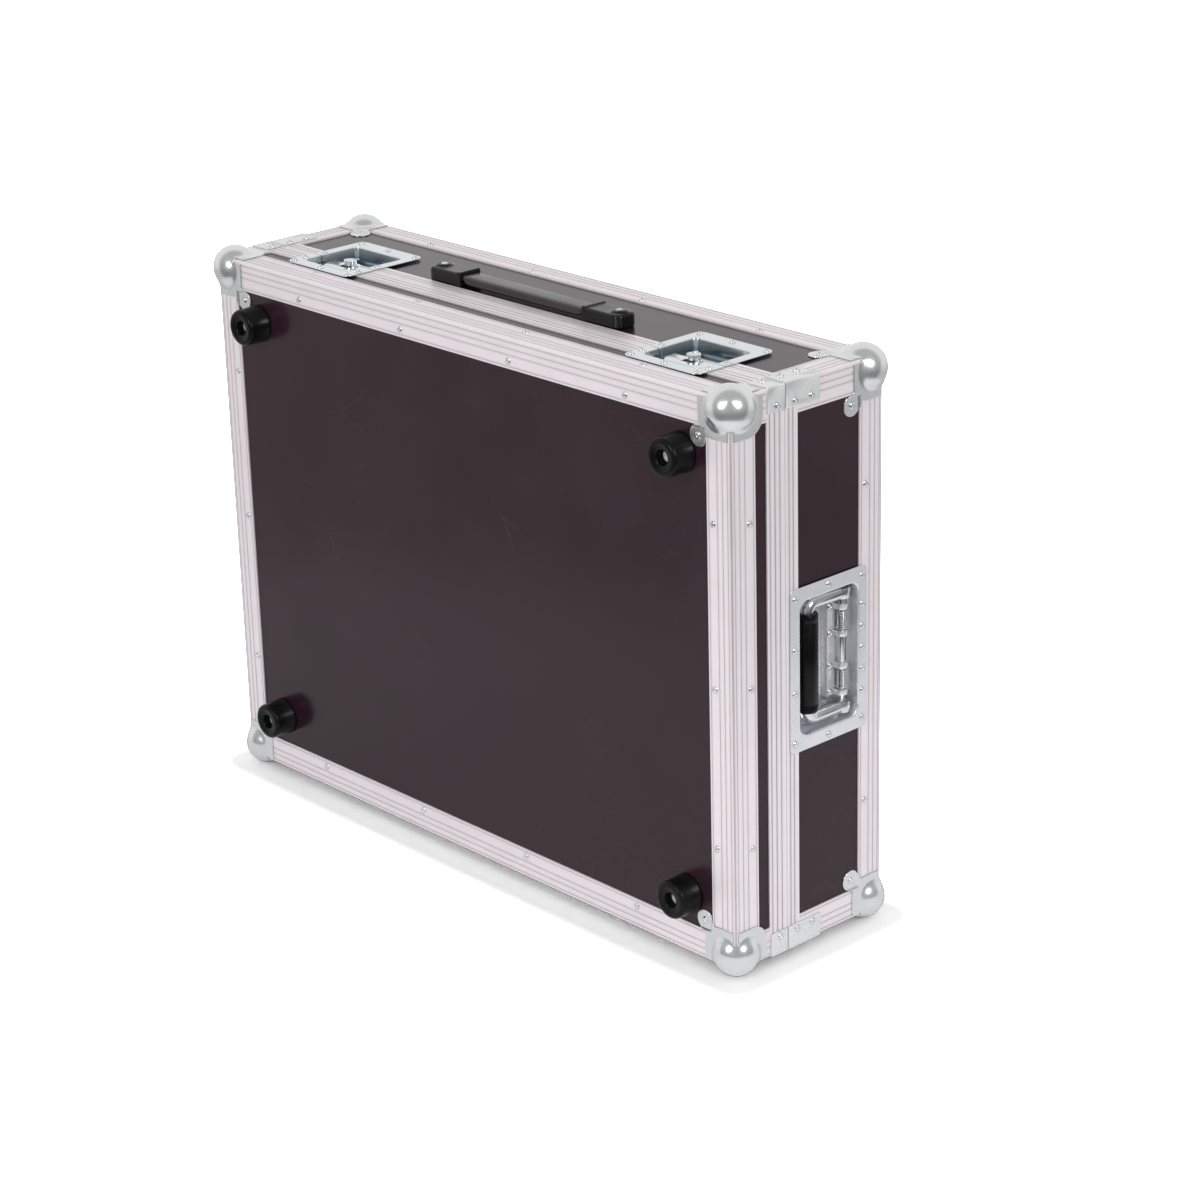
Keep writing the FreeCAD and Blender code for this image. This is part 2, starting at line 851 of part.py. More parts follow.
def latch_rotor():
    base = round_bar(rotor_base_radius, axis_z * base_low, axis_z * base_top)
    cam_middle = axis_y * cam_throw
    cam = round_bar(cam_radius, cam_middle + axis_z * base_top, cam_middle + axis_z * cam_top)
    head = round_bar(rotor_head_radius, axis_z * cam_top, axis_z * head_top)
    height = axis_z * -wing_pin_depth
    start = (pivot_head_radius + rotor_head_radius) / 2
    end = rotor_head_radius + wing_hub_gap + wing_pin_length
    pins = []
    for way in (axis_x, -axis_x):
        pins.append(round_bar(wing_pin_radius, height + way * start, height + way * end))
    bore = round_bar(pivot_radius + fit_clearance, axis_z * (base_low - overrun), axis_z * overrun)
    seat = axis_z * (head_top - pivot_head_height - pivot_head_gap)
    counterbore = round_bar(pivot_head_radius + running_gap, seat, axis_z * overrun)
    return joined(base, cam, head, *pins).cut([bore, counterbore])


def latch_hook():
    half = cam_radius + cam_throw + running_gap + hook_rail
    front = cam_throw - cam_radius - cam_slack
    rear = cam_throw + cam_radius + cam_slack
    height = (hook_low, hook_top)
    plate = block((-half, half), (front - hook_rail, rear + hook_rail), height)
    nose = block((-hook_nose_half, hook_nose_half), (-hook_reach, front), height)
    window_half = half - hook_rail
    window = block((-window_half, window_half), (front, rear), (hook_low - overrun, hook_top + overrun))
    return joined(plate, nose).cut(window)


def latch_wing():
    low = -wing_pin_depth - wing_thickness / 2
    disc = round_bar(wing_radius, axis_z * low, axis_z * (low + wing_thickness))
    strip = block(
        (-wing_radius - overrun, wing_radius + overrun),
        (-wing_front, wing_back),
        (low - overrun, low + wing_thickness + overrun),
    )
    plate = disc.common(strip)
    height = axis_z * -wing_pin_depth
    start = rotor_head_radius + wing_hub_gap
    knuckles = []
    bores = []
    for side in (1, -1):
        inner = height + axis_x * side * start
        outer = height + axis_x * side * (start + wing_knuckle_length)
        knuckles.append(round_bar(wing_knuckle_radius, inner, outer))
        bore_end = height + axis_x * side * (start + wing_pin_length + running_gap)
        bores.append(round_bar(wing_pin_radius + fit_clearance, height, bore_end))
    notch = block(
        (-start, start),
        (-rotor_head_radius - wing_notch_gap, wing_back + overrun),
        (low - overrun, low + wing_thickness + overrun),
    )
    return joined(plate, *knuckles).cut([notch] + bores)


# Hinges: leaves with interleaved knuckles round a pin under the seam
hinge_axis_depth = tray_depth + seam_gap / 2
hinge_axis_height = -hinge_drop


def hinge_leaf(side, first):
    """Leaf on one side of the pin; first is the knuckle it starts with."""
    knuckle_length = (hinge_length + part_gap) / hinge_knuckles
    low = hinge_offset - hinge_length / 2
    clear = hinge_knuckle_radius + hinge_leaf_gap
    near = hinge_axis_depth + side * clear
    far = hinge_axis_depth + side * hinge_leaf_width
    across = (min(near, far), max(near, far))
    plate = block((low, low + hinge_length), across, (-hinge_sheet, 0))
    pieces = []
    axis = Vector(0, hinge_axis_depth, hinge_axis_height)
    for number in range(first, hinge_knuckles, 2):
        start = low + number * knuckle_length
        end = start + knuckle_length - part_gap
        pieces.append(round_bar(hinge_knuckle_radius, axis + axis_x * start, axis + axis_x * end))
        root = hinge_axis_depth + side * hinge_pin_radius
        tab = (min(root, far), max(root, far))
        pieces.append(block((start, end), tab, (-hinge_sheet, 0)))
    bore = round_bar(
        hinge_pin_radius + fit_clearance,
        axis + axis_x * (low - overrun),
        axis + axis_x * (low + hinge_length + overrun),
    )
    return joined(plate, *pieces).cut(bore)


def hinge_pin():
    low = hinge_offset - hinge_length / 2 - part_gap
    high = hinge_offset + hinge_length / 2 + part_gap
    axis = Vector(0, hinge_axis_depth, hinge_axis_height)
    shaft = round_bar(hinge_pin_radius, axis + axis_x * low, axis + axis_x * high)
    heads = []
    for start, end in ((low - hinge_pin_head_length, low), (high, high + hinge_pin_head_length)):
        heads.append(round_bar(hinge_pin_head_radius, axis + axis_x * start, axis + axis_x * end))
    return joined(shaft, *heads)


# Carry handle: a strap whose ends run into two screwed caps
cap_front = closing_rear + cap_setback
strap_front = cap_front + (cap_width - strap_width) / 2
strap_low = panel_top + strap_gap
strap_top = strap_low + strap_thickness


def cap_screw_axes():
    """Ends of the screw holes in the wall under the caps."""
    y = cap_front + cap_width / 2
    low = panel_top - cap_screw_depth
    high = panel_top + overrun
    return [(Vector(x, y, low), Vector(x, y, high)) for x in (cap_screw_place, -cap_screw_place)]


def carry_cap():
    outer_end = cap_inner_end + cap_length
    y = (cap_front, cap_front + cap_width)
    body = block((cap_inner_end, outer_end), y, (panel_top, panel_top + cap_height))
    body = rounded(body, cap_end_radius, axis_z, lambda point: point.x > cap_inner_end + cap_end_radius)
    rim = [edge for edge in body.Edges if edge.BoundBox.ZMin > panel_top + cap_height / 2]
    body = body.makeFillet(cap_edge_radius, rim)
    pocket = block(
        (cap_inner_end - overrun, strap_tail_end + strap_fit),
        (strap_front - strap_fit, strap_front + strap_width + strap_fit),
        (strap_low - strap_fit, strap_top + strap_fit),
    )
    middle = Vector(cap_screw_place, cap_front + cap_width / 2, panel_top)
    above = middle + axis_z * (cap_height + overrun)
    bore = round_bar(cap_screw_radius + screw_clearance, middle - axis_z * overrun, above)
    return body.cut([pocket, bore])


def carry_screw():
    seat = Vector(cap_screw_place, cap_front + cap_width / 2, panel_top + cap_height)
    top = seat + axis_z * cap_screw_head_height
    head = Part.makeCone(cap_screw_head_radius, cap_screw_crown_radius, cap_screw_head_height, seat, axis_z)
    tip = seat - axis_z * (cap_height + cap_screw_depth - cap_screw_tip_gap)
    shank = round_bar(cap_screw_radius, tip, seat)
    half = cap_screw_slot_width / 2
    slot = block(
        (seat.x - half, seat.x + half),
        (seat.y - cap_screw_head_radius, seat.y + cap_screw_head_radius),
        (top.z - cap_screw_slot_depth, top.z + overrun),
    )
    return joined(head, shank).cut(slot)


def strap_run(start, end):
    y = (strap_front, strap_front + strap_width)
    solid = block((start, end), y, (strap_low, strap_top))
    return rounded(solid, strap_edge_radius, axis_x, lambda point: True)


# Side handles: a sprung bail on a rod, in a dish let into the wall
rod_middle = Vector(half_width - rod_depth, rod_line, mid_height)
handle_floor = half_width - handle_recess_depth


def side_handle_dish():
    half = handle_plate_height / 2
    tall = (mid_height - half, mid_height + half)
    deep = (handle_front, handle_front + handle_plate_width)
    plate = block((half_width, half_width + handle_sheet), deep, tall)
    plate = rounded(plate, handle_plate_radius, axis_x, lambda point: True)
    tub = handle_recess(handle_sheet, handle_recess_depth + handle_sheet, 0)
    hollow = handle_recess(0, handle_recess_depth, handle_sheet + overrun)
    return drilled(joined(plate, tub).cut(hollow), lid_holes)[0]


def rod_span():
    return bail_half_height + bail_eye_height / 2 + rod_overhang


def side_handle_rod():
    return round_bar(rod_radius, rod_middle - axis_z * rod_span(), rod_middle + axis_z * rod_span())


def side_handle_bracket():
    """Raised plate on a front wall, with four ears that hold the rod beside two springs."""
    top = half_width - bracket_depth
    front = rod_line - bracket_front
    reach = bracket_outer + bracket_end
    tall = (mid_height - reach, mid_height + reach)
    pieces = [
        block((top - bracket_sheet, top), (front, recess_rear - part_gap), tall),
        block((handle_floor, top), (front, front + bracket_sheet), tall),
    ]
    narrow = (rod_line - bracket_ear_radius, rod_line + bracket_ear_radius)
    half = bracket_ear_thickness / 2
    for middle in [mid_height + side * row for row in bracket_rows for side in (1, -1)]:
        pieces.append(block((top, rod_middle.x), narrow, (middle - half, middle + half)))
        ear_start = Vector(rod_middle.x, rod_line, middle - half)
        pieces.append(round_bar(bracket_ear_radius, ear_start, ear_start + axis_z * bracket_ear_thickness))
    reach = axis_z * rod_span()
    bore = round_bar(rod_radius + fit_clearance, rod_middle - reach, rod_middle + reach)
    return drilled(joined(*pieces).cut(bore), lid_holes)[0]


def biarc(start, start_way, end, end_way):
    """Two tangent arcs between two points with given directions."""
    chord = end - start
    ways = start_way + end_way
    spread = 2 * (1 - start_way.dot(end_way))
    lean = chord.dot(ways)
    reach = (math.sqrt(lean * lean + spread * chord.dot(chord)) - lean) / spread
    first_corner = start + start_way * reach
    second_corner = end - end_way * reach
    middle = (first_corner + second_corner) / 2
    return [tangent_arc(start, first_corner, middle), tangent_arc(middle, second_corner, end)]


def tangent_arc(start, corner, end):
    """Arc that touches the two equal legs from a corner to its ends."""
    centre = (start + end) / 2
    half = (end - start).Length / 2
    height = (corner - centre).Length
    sagitta = half * math.tan(math.atan2(height, half) / 2)
    return Part.Arc(start, centre + (corner - centre) * (sagitta / height), end).toShape()


def coil_nodes():
    """Quarter-turn points of a spring with their directions, centred on the rod."""
    radius = rod_radius + spring_seat_gap + spring_wire_radius
    quarters = spring_turns * 4 + 2
    length = spring_pitch * quarters / 4
    slope = spring_pitch / (2 * math.pi * radius)
    nodes = []
    for quarter in range(quarters + 1):
        angle = (quarter - 1) * math.pi / 2
        height = quarter * spring_pitch / 4 - length / 2
        way = Vector(-math.sin(angle), math.cos(angle), slope if 0 < quarter < quarters else 0)
        nodes.append((Vector(radius * math.cos(angle), radius * math.sin(angle), height), way.normalize()))
    return nodes


def side_handle_spring(side):
    """Torsion spring round the rod; both ends run square towards the plate of the bracket."""
    middle = rod_middle + axis_z * side * (bracket_inner + bracket_outer) / 2
    nodes = [(middle + place, way) for place, way in coil_nodes()]
    leg = bracket_depth - rod_depth - spring_seat_gap
    first = nodes[0][0] - nodes[0][1] * leg
    last = nodes[-1][0] + nodes[-1][1] * leg
    edges = [Part.LineSegment(first, nodes[0][0]).toShape()]
    for (start, start_way), (end, end_way) in zip(nodes, nodes[1:]):
        edges += biarc(start, start_way, end, end_way)
    edges.append(Part.LineSegment(nodes[-1][0], last).toShape())
    section = Part.Wire(Part.makeCircle(spring_wire_radius, first, nodes[0][1]))
    shell = Part.BRepOffsetAPI.MakePipeShell(Part.Wire(edges))
    shell.add(section)
    shell.build()
    shell.makeSolid()
    return shell.shape()


def spring_gap():
    """Least gap between neighbouring turns, measured on points of the coil."""
    points = [place for place, way in coil_nodes()]
    apart = [
        (late - early).Length
        for index, early in enumerate(points)
        for late in points[index + 3:]
    ]
    return min(apart) - spring_wire_radius * 2


def bail_corner(side):
    return Vector(rod_middle.x, grip_line, mid_height + side * bail_half_height)


def side_handle_bail():
    bend = bail_bend_radius
    nook_share = 1 - math.sqrt(0.5)
    top = bail_corner(1)
    bottom = bail_corner(-1)
    top_end = top + axis_y * (rod_line - grip_line)
    bottom_end = bottom + axis_y * (rod_line - grip_line)
    nook = axis_y * bend * nook_share
    fall = axis_z * bend * nook_share
    edges = [
        Part.LineSegment(top_end, top + axis_y * bend).toShape(),
        Part.Arc(top + axis_y * bend, top + nook - fall, top - axis_z * bend).toShape(),
        Part.LineSegment(top - axis_z * bend, bottom + axis_z * bend).toShape(),
        Part.Arc(bottom + axis_z * bend, bottom + nook + fall, bottom + axis_y * bend).toShape(),
        Part.LineSegment(bottom + axis_y * bend, bottom_end).toShape(),
    ]
    section = Part.Wire(Part.makeCircle(bail_radius, top_end, axis_y))
    bar = Part.Wire(edges).makePipeShell([section], True, False)
    eyes = []
    for middle in (top_end, bottom_end):
        half = axis_z * bail_eye_height / 2
        eyes.append(round_bar(bail_eye_radius, middle - half, middle + half))
    reach = axis_z * (rod_span() + overrun)
    bore = round_bar(rod_radius + fit_clearance, rod_middle - reach, rod_middle + reach)
    return joined(bar, *eyes).cut(bore)


def side_handle_grip():
    top = bail_corner(1) - axis_z * bail_bend_radius
    bottom = bail_corner(-1) + axis_z * bail_bend_radius
    sleeve = round_bar(grip_radius, bottom, top)
    rims = [edge for edge in sleeve.Edges if edge.Closed]
    sleeve = sleeve.makeFillet(grip_end_radius, rims)
    bore = bail_radius + fit_clearance
    return sleeve.cut(round_bar(bore, bottom - axis_z * overrun, top + axis_z * overrun))


# Foam sheets inside the two large panels, cut away where the dishes of the handles come near
def dish_rooms():
    margin = handle_sheet + part_gap
    return both_sides(handle_recess(margin, handle_recess_depth + margin, 0))


def foam_sheet():
    x = half_width - wall_depth - glue_gap
    z = wall_depth + glue_gap
    front = wall_depth + glue_gap
    return block((-x, x), (front, front + foam_thickness), (z, case_height - z))


# The closed case stands on its lower ball corners, with the floor at zero and the middle of its
# depth, from the feet to the rear balls, at the origin
stand = Vector(0, -(foot_face + case_depth + ball_rise) / 2, ball_rise)


def keep(node, solids):
    moved = [solid.translated(stand) for solid in solids]
    shape = moved[0] if len(moved) == 1 else Part.makeCompound(moved)
    shape.exportStep("parts/" + node + ".step")


os.makedirs("parts", exist_ok=True)

keep("tray_base_panel", tray_base_panel())
keep("tray_top_wall", tray_top_wall())
keep("tray_bottom_wall", tray_bottom_wall())
keep("tray_side_walls", tray_side_walls())
keep("tray_long_edges", all_drilled(long_edges(), tray_holes))
keep("tray_short_edges", all_drilled(short_edges(), tray_holes))
keep("tray_corner_edges", corner_edges(leg_length, closing_front))
keep("tray_closing_long", closing_long(tray_closing_bar, tray_holes))
keep("tray_closing_short", closing_short(tray_closing_bar, tray_holes))
keep("tray_ball_corners", tray_ball_corners())
keep("tray_corner_braces", braces(tray_depth - part_gap - tray_brace_length, tray_brace_length, tray_holes))
keep("tray_rivets", [rivet(seat, outward) for seat, outward in tray_places])
keep("rubber_feet", [rubber_foot(place) for place in foot_places()])
keep("foot_washers", [foot_washer(place) for place in foot_places()])
keep("foot_screws", [foot_screw(place) for place in foot_places()])
keep("latch_keepers", all_drilled(on_latches(latch_keeper()), tray_holes))
keep("tray_hinge_leaves", all_drilled(both_sides(hinge_leaf(-1, 0)), tray_holes))
keep("hinge_pins", both_sides(hinge_pin()))
keep("tray_foam", [foam_sheet()])

keep("lid_back_panel", lid_back_panel())
keep("lid_top_wall", lid_top_wall())
keep("lid_bottom_wall", lid_bottom_wall())
keep("lid_side_walls", lid_side_walls())
keep("lid_long_edges", all_drilled(on_lid(long_edges()), lid_holes))
keep("lid_short_edges", all_drilled(on_lid(short_edges()), lid_holes))
keep("lid_corner_edges", all_drilled(corner_edges(closing_rear, case_depth - leg_length), lid_holes))
keep("lid_closing_long", closing_long(lid_closing_bar, lid_holes))
keep("lid_closing_short", closing_short(lid_closing_bar, lid_holes))
keep("lid_ball_corners", lid_ball_corners())
keep("lid_corner_braces", braces(lid_front + part_gap, lid_brace_length, lid_holes))
keep("lid_rivets", [rivet(seat, outward) for seat, outward in lid_places])
keep("latch_dishes", all_drilled(on_latches(latch_dish()), lid_holes))
keep("latch_pivots", on_latches(latch_pivot()))
keep("lid_hinge_leaves", all_drilled(both_sides(hinge_leaf(1, 1)), lid_holes))
keep("carry_handle_caps", both_sides(carry_cap()))
keep("carry_handle_screws", both_sides(carry_screw()))
keep("carry_strap_tails", both_sides(strap_run(strap_half + part_gap, strap_tail_end)))
keep("side_handle_dishes", both_sides(side_handle_dish()))
keep("side_handle_rods", both_sides(side_handle_rod()))
keep("side_handle_brackets", both_sides(side_handle_bracket()))
keep("side_handle_springs", [copy for side in (1, -1) for copy in both_sides(side_handle_spring(side))])
keep("lid_foam", drilled(mirror_y(foam_sheet()), dish_rooms()))

for name, place in zip(("right", "left"), latch_places()):
    keep("latch_rotor_" + name, [latch_rotor().translated(place)])
    keep("latch_hook_" + name, [latch_hook().translated(place)])
    keep("latch_wing_" + name, [latch_wing().translated(place)])

for name, shape in zip(("right", "left"), both_sides(side_handle_bail())):
    keep("side_handle_bail_" + name, [shape])
for name, shape in zip(("right", "left"), both_sides(side_handle_grip())):
    keep("side_handle_grip_" + name, [shape])
keep("carry_strap", [strap_run(-strap_half, strap_half)])

print("least gap between spring turns", round(spring_gap(), 3))
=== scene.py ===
import math

import bmesh
import bpy
import numpy as np
import openvdb
from mathutils import Matrix, Vector


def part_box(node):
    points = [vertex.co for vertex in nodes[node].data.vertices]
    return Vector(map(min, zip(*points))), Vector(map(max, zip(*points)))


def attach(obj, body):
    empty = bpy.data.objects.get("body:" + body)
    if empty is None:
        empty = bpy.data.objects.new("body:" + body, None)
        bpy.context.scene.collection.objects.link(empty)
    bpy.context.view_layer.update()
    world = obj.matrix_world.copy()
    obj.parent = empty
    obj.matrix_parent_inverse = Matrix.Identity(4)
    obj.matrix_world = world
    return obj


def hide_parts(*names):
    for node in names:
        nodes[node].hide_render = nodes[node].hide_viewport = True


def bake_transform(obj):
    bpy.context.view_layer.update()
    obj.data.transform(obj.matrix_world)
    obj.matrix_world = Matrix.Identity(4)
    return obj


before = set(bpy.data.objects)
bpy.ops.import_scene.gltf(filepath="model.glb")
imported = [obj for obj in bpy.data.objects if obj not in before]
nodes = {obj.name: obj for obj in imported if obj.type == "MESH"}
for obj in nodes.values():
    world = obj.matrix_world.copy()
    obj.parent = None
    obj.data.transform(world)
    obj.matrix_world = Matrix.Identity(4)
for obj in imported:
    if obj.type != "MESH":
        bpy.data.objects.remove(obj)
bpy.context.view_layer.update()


def add_node(tree, kind, settings=None, **inputs):
    """A node with its settings and inputs; in0, in1 and so on count the sockets."""
    made = tree.nodes.new(kind)
    for name, value in (settings or {}).items():
        setattr(made, name, value)
    for name, value in inputs.items():
        counted = name[:2] == "in" and name[2:].isdigit()
        socket = made.inputs[int(name[2:])] if counted else made.inputs[name.replace("_", " ")]
        if isinstance(value, bpy.types.NodeSocket):
            tree.links.new(value, socket)
        else:
            socket.default_value = value
    return made


def math_node(tree, operation, *values):
    """The result of one arithmetic step."""
    inputs = {"in%d" % count: value for count, value in enumerate(values)}
    return add_node(tree, "ShaderNodeMath", {"operation": operation}, **inputs).outputs[0]


def new_finish(name, roughness=0.5, metallic=0.0):
    """An empty material, its node tree and its shader."""
    finish = bpy.data.materials.new(name)
    finish.use_nodes = True
    shader = finish.node_tree.nodes["Principled BSDF"]
    shader.inputs["Roughness"].default_value = roughness
    shader.inputs["Metallic"].default_value = metallic
    return finish, finish.node_tree, shader


def between(tree, mask, low, high):
    """A value that runs from low to high with a mask."""
    return add_node(tree, "ShaderNodeMapRange", in0=mask, in3=low, in4=high).outputs[0]


def tinted(tree, mask, first, second):
    """A colour that runs from the first to the second with a mask."""
    mix = add_node(tree, "ShaderNodeMix", {"data_type": "RGBA"}, in0=mask, in6=first, in7=second)
    return mix.outputs[2]


def new_group(name, inputs, outputs):
    """A shader group with named sockets, and its inner ends."""
    group = bpy.data.node_groups.new(name, "ShaderNodeTree")
    for label, kind, value in inputs:
        socket = group.interface.new_socket(label, in_out="INPUT", socket_type=kind)
        socket.default_value = value
    for label in outputs:
        group.interface.new_socket(label, in_out="OUTPUT", socket_type="NodeSocketFloat")
    return group, group.nodes.new("NodeGroupInput"), group.nodes.new("NodeGroupOutput")


def handling_marks_group():
    """Cloudy smudges and a few fine scratches, as on a case that has been carried."""
    inputs = [("Smudge size", "NodeSocketFloat", 9.0), ("Scratch size", "NodeSocketFloat", 26.0)]
    group, start, end = new_group("handling_marks", inputs, ["Smudge", "Scratch"])
    place = add_node(group, "ShaderNodeTexCoord").outputs["Object"]
    clouds = add_node(group, "ShaderNodeTexNoise", Vector=place, Scale=start.outputs["Smudge size"],
                      Detail=5.0, Roughness=0.62)
    smudge = add_node(group, "ShaderNodeMapRange", {"interpolation_type": "SMOOTHSTEP"},
                      in0=clouds.outputs[0], in1=0.38, in2=0.68)
    leaning = add_node(group, "ShaderNodeMapping", Vector=place, Rotation=(0.5, 0.9, 0.35),
                       Scale=(1.0, 7.0, 3.0))
    cells = add_node(group, "ShaderNodeTexVoronoi", {"feature": "DISTANCE_TO_EDGE"},
                     Vector=leaning.outputs[0], Scale=start.outputs["Scratch size"])
    line = add_node(group, "ShaderNodeMapRange", in0=cells.outputs["Distance"], in1=0.0, in2=0.006,
                    in3=1.0, in4=0.0)
    patches = add_node(group, "ShaderNodeTexNoise", Vector=place, Scale=start.outputs["Scratch size"],
                       Detail=2.0)
    chosen = add_node(group, "ShaderNodeMapRange", in0=patches.outputs[0], in1=0.58, in2=0.66)
    scratch = math_node(group, "MULTIPLY", line.outputs[0], chosen.outputs[0])
    group.links.new(smudge.outputs[0], end.inputs["Smudge"])
    group.links.new(scratch, end.inputs["Scratch"])
    return group


handling_marks = handling_marks_group()


def place_group(tree, group, **inputs):
    """The outputs of a group placed in a material with its own values."""
    return add_node(tree, "ShaderNodeGroup", {"node_tree": group}, **inputs).outputs


def film_finish():
    """Dark brown film with a satin gloss, smudges, a few pale scratches and a fine orange peel."""
    finish, tree, shader = new_finish("brown_film")
    shader.inputs["IOR"].default_value = 1.34
    marks = place_group(tree, handling_marks, Smudge_size=5.0, Scratch_size=9.0)
    colour = tinted(tree, marks["Smudge"], (0.0165, 0.006, 0.0098, 1), (0.021, 0.0085, 0.0128, 1))
    worn = tinted(tree, between(tree, marks["Scratch"], 0.0, 0.25), colour, (0.1, 0.08, 0.08, 1))
    tree.links.new(worn, shader.inputs["Base Color"])
    tree.links.new(between(tree, marks["Smudge"], 0.18, 0.25), shader.inputs["Roughness"])
    place = add_node(tree, "ShaderNodeTexCoord").outputs["Object"]
    peel = add_node(tree, "ShaderNodeTexNoise", Vector=place, Scale=420.0, Detail=3.0)
    bump = add_node(tree, "ShaderNodeBump", Height=peel.outputs[0], Strength=0.05, Distance=0.0006)
    tree.links.new(bump.outputs[0], shader.inputs["Normal"])
    return finish


def dress(finish, *names):
    """Give CAD pieces a finish."""
    for name in names:
        nodes[name].data.materials.clear()
        nodes[name].data.materials.append(finish)


brown_film = film_finish()
for half in ("tray", "lid"):
    dress(brown_film, half + "_top_wall", half + "_bottom_wall", half + "_side_walls")
dress(brown_film, "tray_base_panel", "lid_back_panel")


# Edge and closing profiles
# Extruded aluminium angles with fine flutes along their length, etched and anodised to a satin grey.
# They are mitred at the corners, glued over the edges of the panels and riveted.
mm = 0.001
case_low = np.array(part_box("tray_long_edges")[0])
case_high = np.array(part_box("lid_long_edges")[1])
case_middle = (case_low + case_high) / 2
case_half = (case_high - case_low) / 2
edge_flutes = (4.2 * mm, 10.5 * mm, 16.8 * mm, 27.6 * mm)
tray_flutes = (47.9 * mm, 54.2 * mm, 60.4 * mm, 47.9 * mm)
lid_flutes = (71.9 * mm, 77.0 * mm, 71.9 * mm, 77.0 * mm)
flute_floor = 0.45 * mm
flute_edge = 0.65 * mm
halo_start = 0.5 * mm
halo_end = 2.6 * mm
# Strength of the painted shade in the flutes and beside them, and its share on the edge profiles.
painted_shade_inside = 0.62
painted_shade_beside = 0.2
edge_painted_shade = 0.6
nose_dark = 1.3 * mm
nose_end = 2.0 * mm


def drawn_lines_group():
    """Faint lines along an extrusion, and a soft mottle from the etching bath."""
    inputs = [("Stretch", "NodeSocketVector", (4.0, 900.0, 900.0))]
    group, start, end = new_group("drawn_lines", inputs, ["Line", "Mottle"])
    place = add_node(group, "ShaderNodeTexCoord").outputs["Object"]
    stretched = add_node(group, "ShaderNodeVectorMath", {"operation": "MULTIPLY"}, in0=place,
                         in1=start.outputs["Stretch"])
    line = add_node(group, "ShaderNodeTexNoise", Vector=stretched.outputs[0], Scale=1.0, Detail=3.0,
                    Roughness=0.6)
    mottle = add_node(group, "ShaderNodeTexNoise", Vector=place, Scale=38.0, Detail=4.0)
    group.links.new(line.outputs[0], end.inputs["Line"])
    group.links.new(mottle.outputs[0], end.inputs["Mottle"])
    return group


def painted_flute_shade_group():
    """Painted shade in the flutes and a softer painted shade on the lands beside them, by their distance
    from the edge of the case.
    """
    labels = ("First", "Second", "Third", "Fourth")
    inputs = [(label, "NodeSocketFloat", 0.0) for label in ("Distance",) + labels]
    group, start, end = new_group("painted_flute_shade", inputs, ["Grime"])
    painted_shade = 0.0
    for label in labels:
        away = math_node(group, "SUBTRACT", start.outputs["Distance"], start.outputs[label])
        near = math_node(group, "ABSOLUTE", away)
        inside = add_node(group, "ShaderNodeMapRange", in0=near, in1=flute_floor, in2=flute_edge,
                          in3=painted_shade_inside, in4=0.0)
        beside = add_node(group, "ShaderNodeMapRange", in0=near, in1=halo_start, in2=halo_end,
                          in3=painted_shade_beside, in4=0.0)
        shade = math_node(group, "MAXIMUM", inside.outputs[0], beside.outputs[0])
        painted_shade = math_node(group, "MAXIMUM", shade, painted_shade)
    group.links.new(painted_shade, end.inputs["Grime"])
    return group


drawn_lines = drawn_lines_group()
painted_flute_shade = painted_flute_shade_group()


def painted_shade_at(tree, distance, flutes):
    """Painted shade in a row of four flutes; a row that has fewer gives some of them twice."""
    first, second, third, fourth = flutes
    made = place_group(tree, painted_flute_shade, Distance=distance, First=first, Second=second, Third=third,
                       Fourth=fourth)
    return made["Grime"]


def profile_finish(name, along, flutes_from_edges):
    """Satin aluminium drawn along an axis of the case, with painted shade in and beside its flutes; the
    nose of an upright edge has painted shade along it.
    """
    finish, tree, shader = new_finish(name, metallic=0.45)
    stretch = [900.0, 900.0, 900.0]
    stretch[along] = 4.0
    lines = place_group(tree, drawn_lines, Stretch=stretch)
    marks = place_group(tree, handling_marks, Smudge_size=14.0, Scratch_size=30.0)
    place = add_node(tree, "ShaderNodeTexCoord").outputs["Object"]
    spread = add_node(tree, "ShaderNodeSeparateXYZ", in0=place)
    painted_shade = 0.0
    farther = 0.0
    for axis in range(3):
        if axis == along:
            continue
        if flutes_from_edges:
            away = math_node(tree, "SUBTRACT", spread.outputs[axis], float(case_middle[axis]))
            reach = math_node(tree, "ABSOLUTE", away)
            inward = math_node(tree, "SUBTRACT", float(case_half[axis]), reach)
            painted_shade = math_node(tree, "MAXIMUM", painted_shade_at(tree, inward, edge_flutes), painted_shade)
            farther = math_node(tree, "MAXIMUM", inward, farther)
        elif axis == 1:
            depth = math_node(tree, "SUBTRACT", spread.outputs[1], float(case_low[1]))
            for flutes in (tray_flutes, lid_flutes):
                painted_shade = math_node(tree, "MAXIMUM", painted_shade_at(tree, depth, flutes), painted_shade)
    # Painted shade along the nose of an upright edge, within nose_dark of both faces.
    if along == 2 and flutes_from_edges:
        nose = add_node(tree, "ShaderNodeMapRange", in0=farther, in1=nose_dark, in2=nose_end,
                        in3=1.0, in4=0.0)
        painted_shade = math_node(tree, "MAXIMUM", nose.outputs[0], painted_shade)
    if flutes_from_edges:
        painted_shade = math_node(tree, "MULTIPLY", painted_shade, edge_painted_shade)
    colour = tinted(tree, lines["Mottle"], (0.75, 0.688, 0.71, 1), (0.83, 0.768, 0.79, 1))
    streaked = tinted(tree, between(tree, lines["Line"], 0.0, 0.6), colour, (0.68, 0.625, 0.645, 1))
    # Painted shade: the flutes, the lands beside them and the nose are darkened towards this colour.
    shaded = tinted(tree, painted_shade, streaked, (0.2, 0.18, 0.185, 1))
    tree.links.new(shaded, shader.inputs["Base Color"])
    tree.links.new(between(tree, marks["Smudge"], 0.36, 0.46), shader.inputs["Roughness"])
    height = math_node(tree, "SUBTRACT", lines["Line"], marks["Scratch"])
    bump = add_node(tree, "ShaderNodeBump", Height=height, Strength=0.12, Distance=0.0003)
    tree.links.new(bump.outputs[0], shader.inputs["Normal"])
    return finish


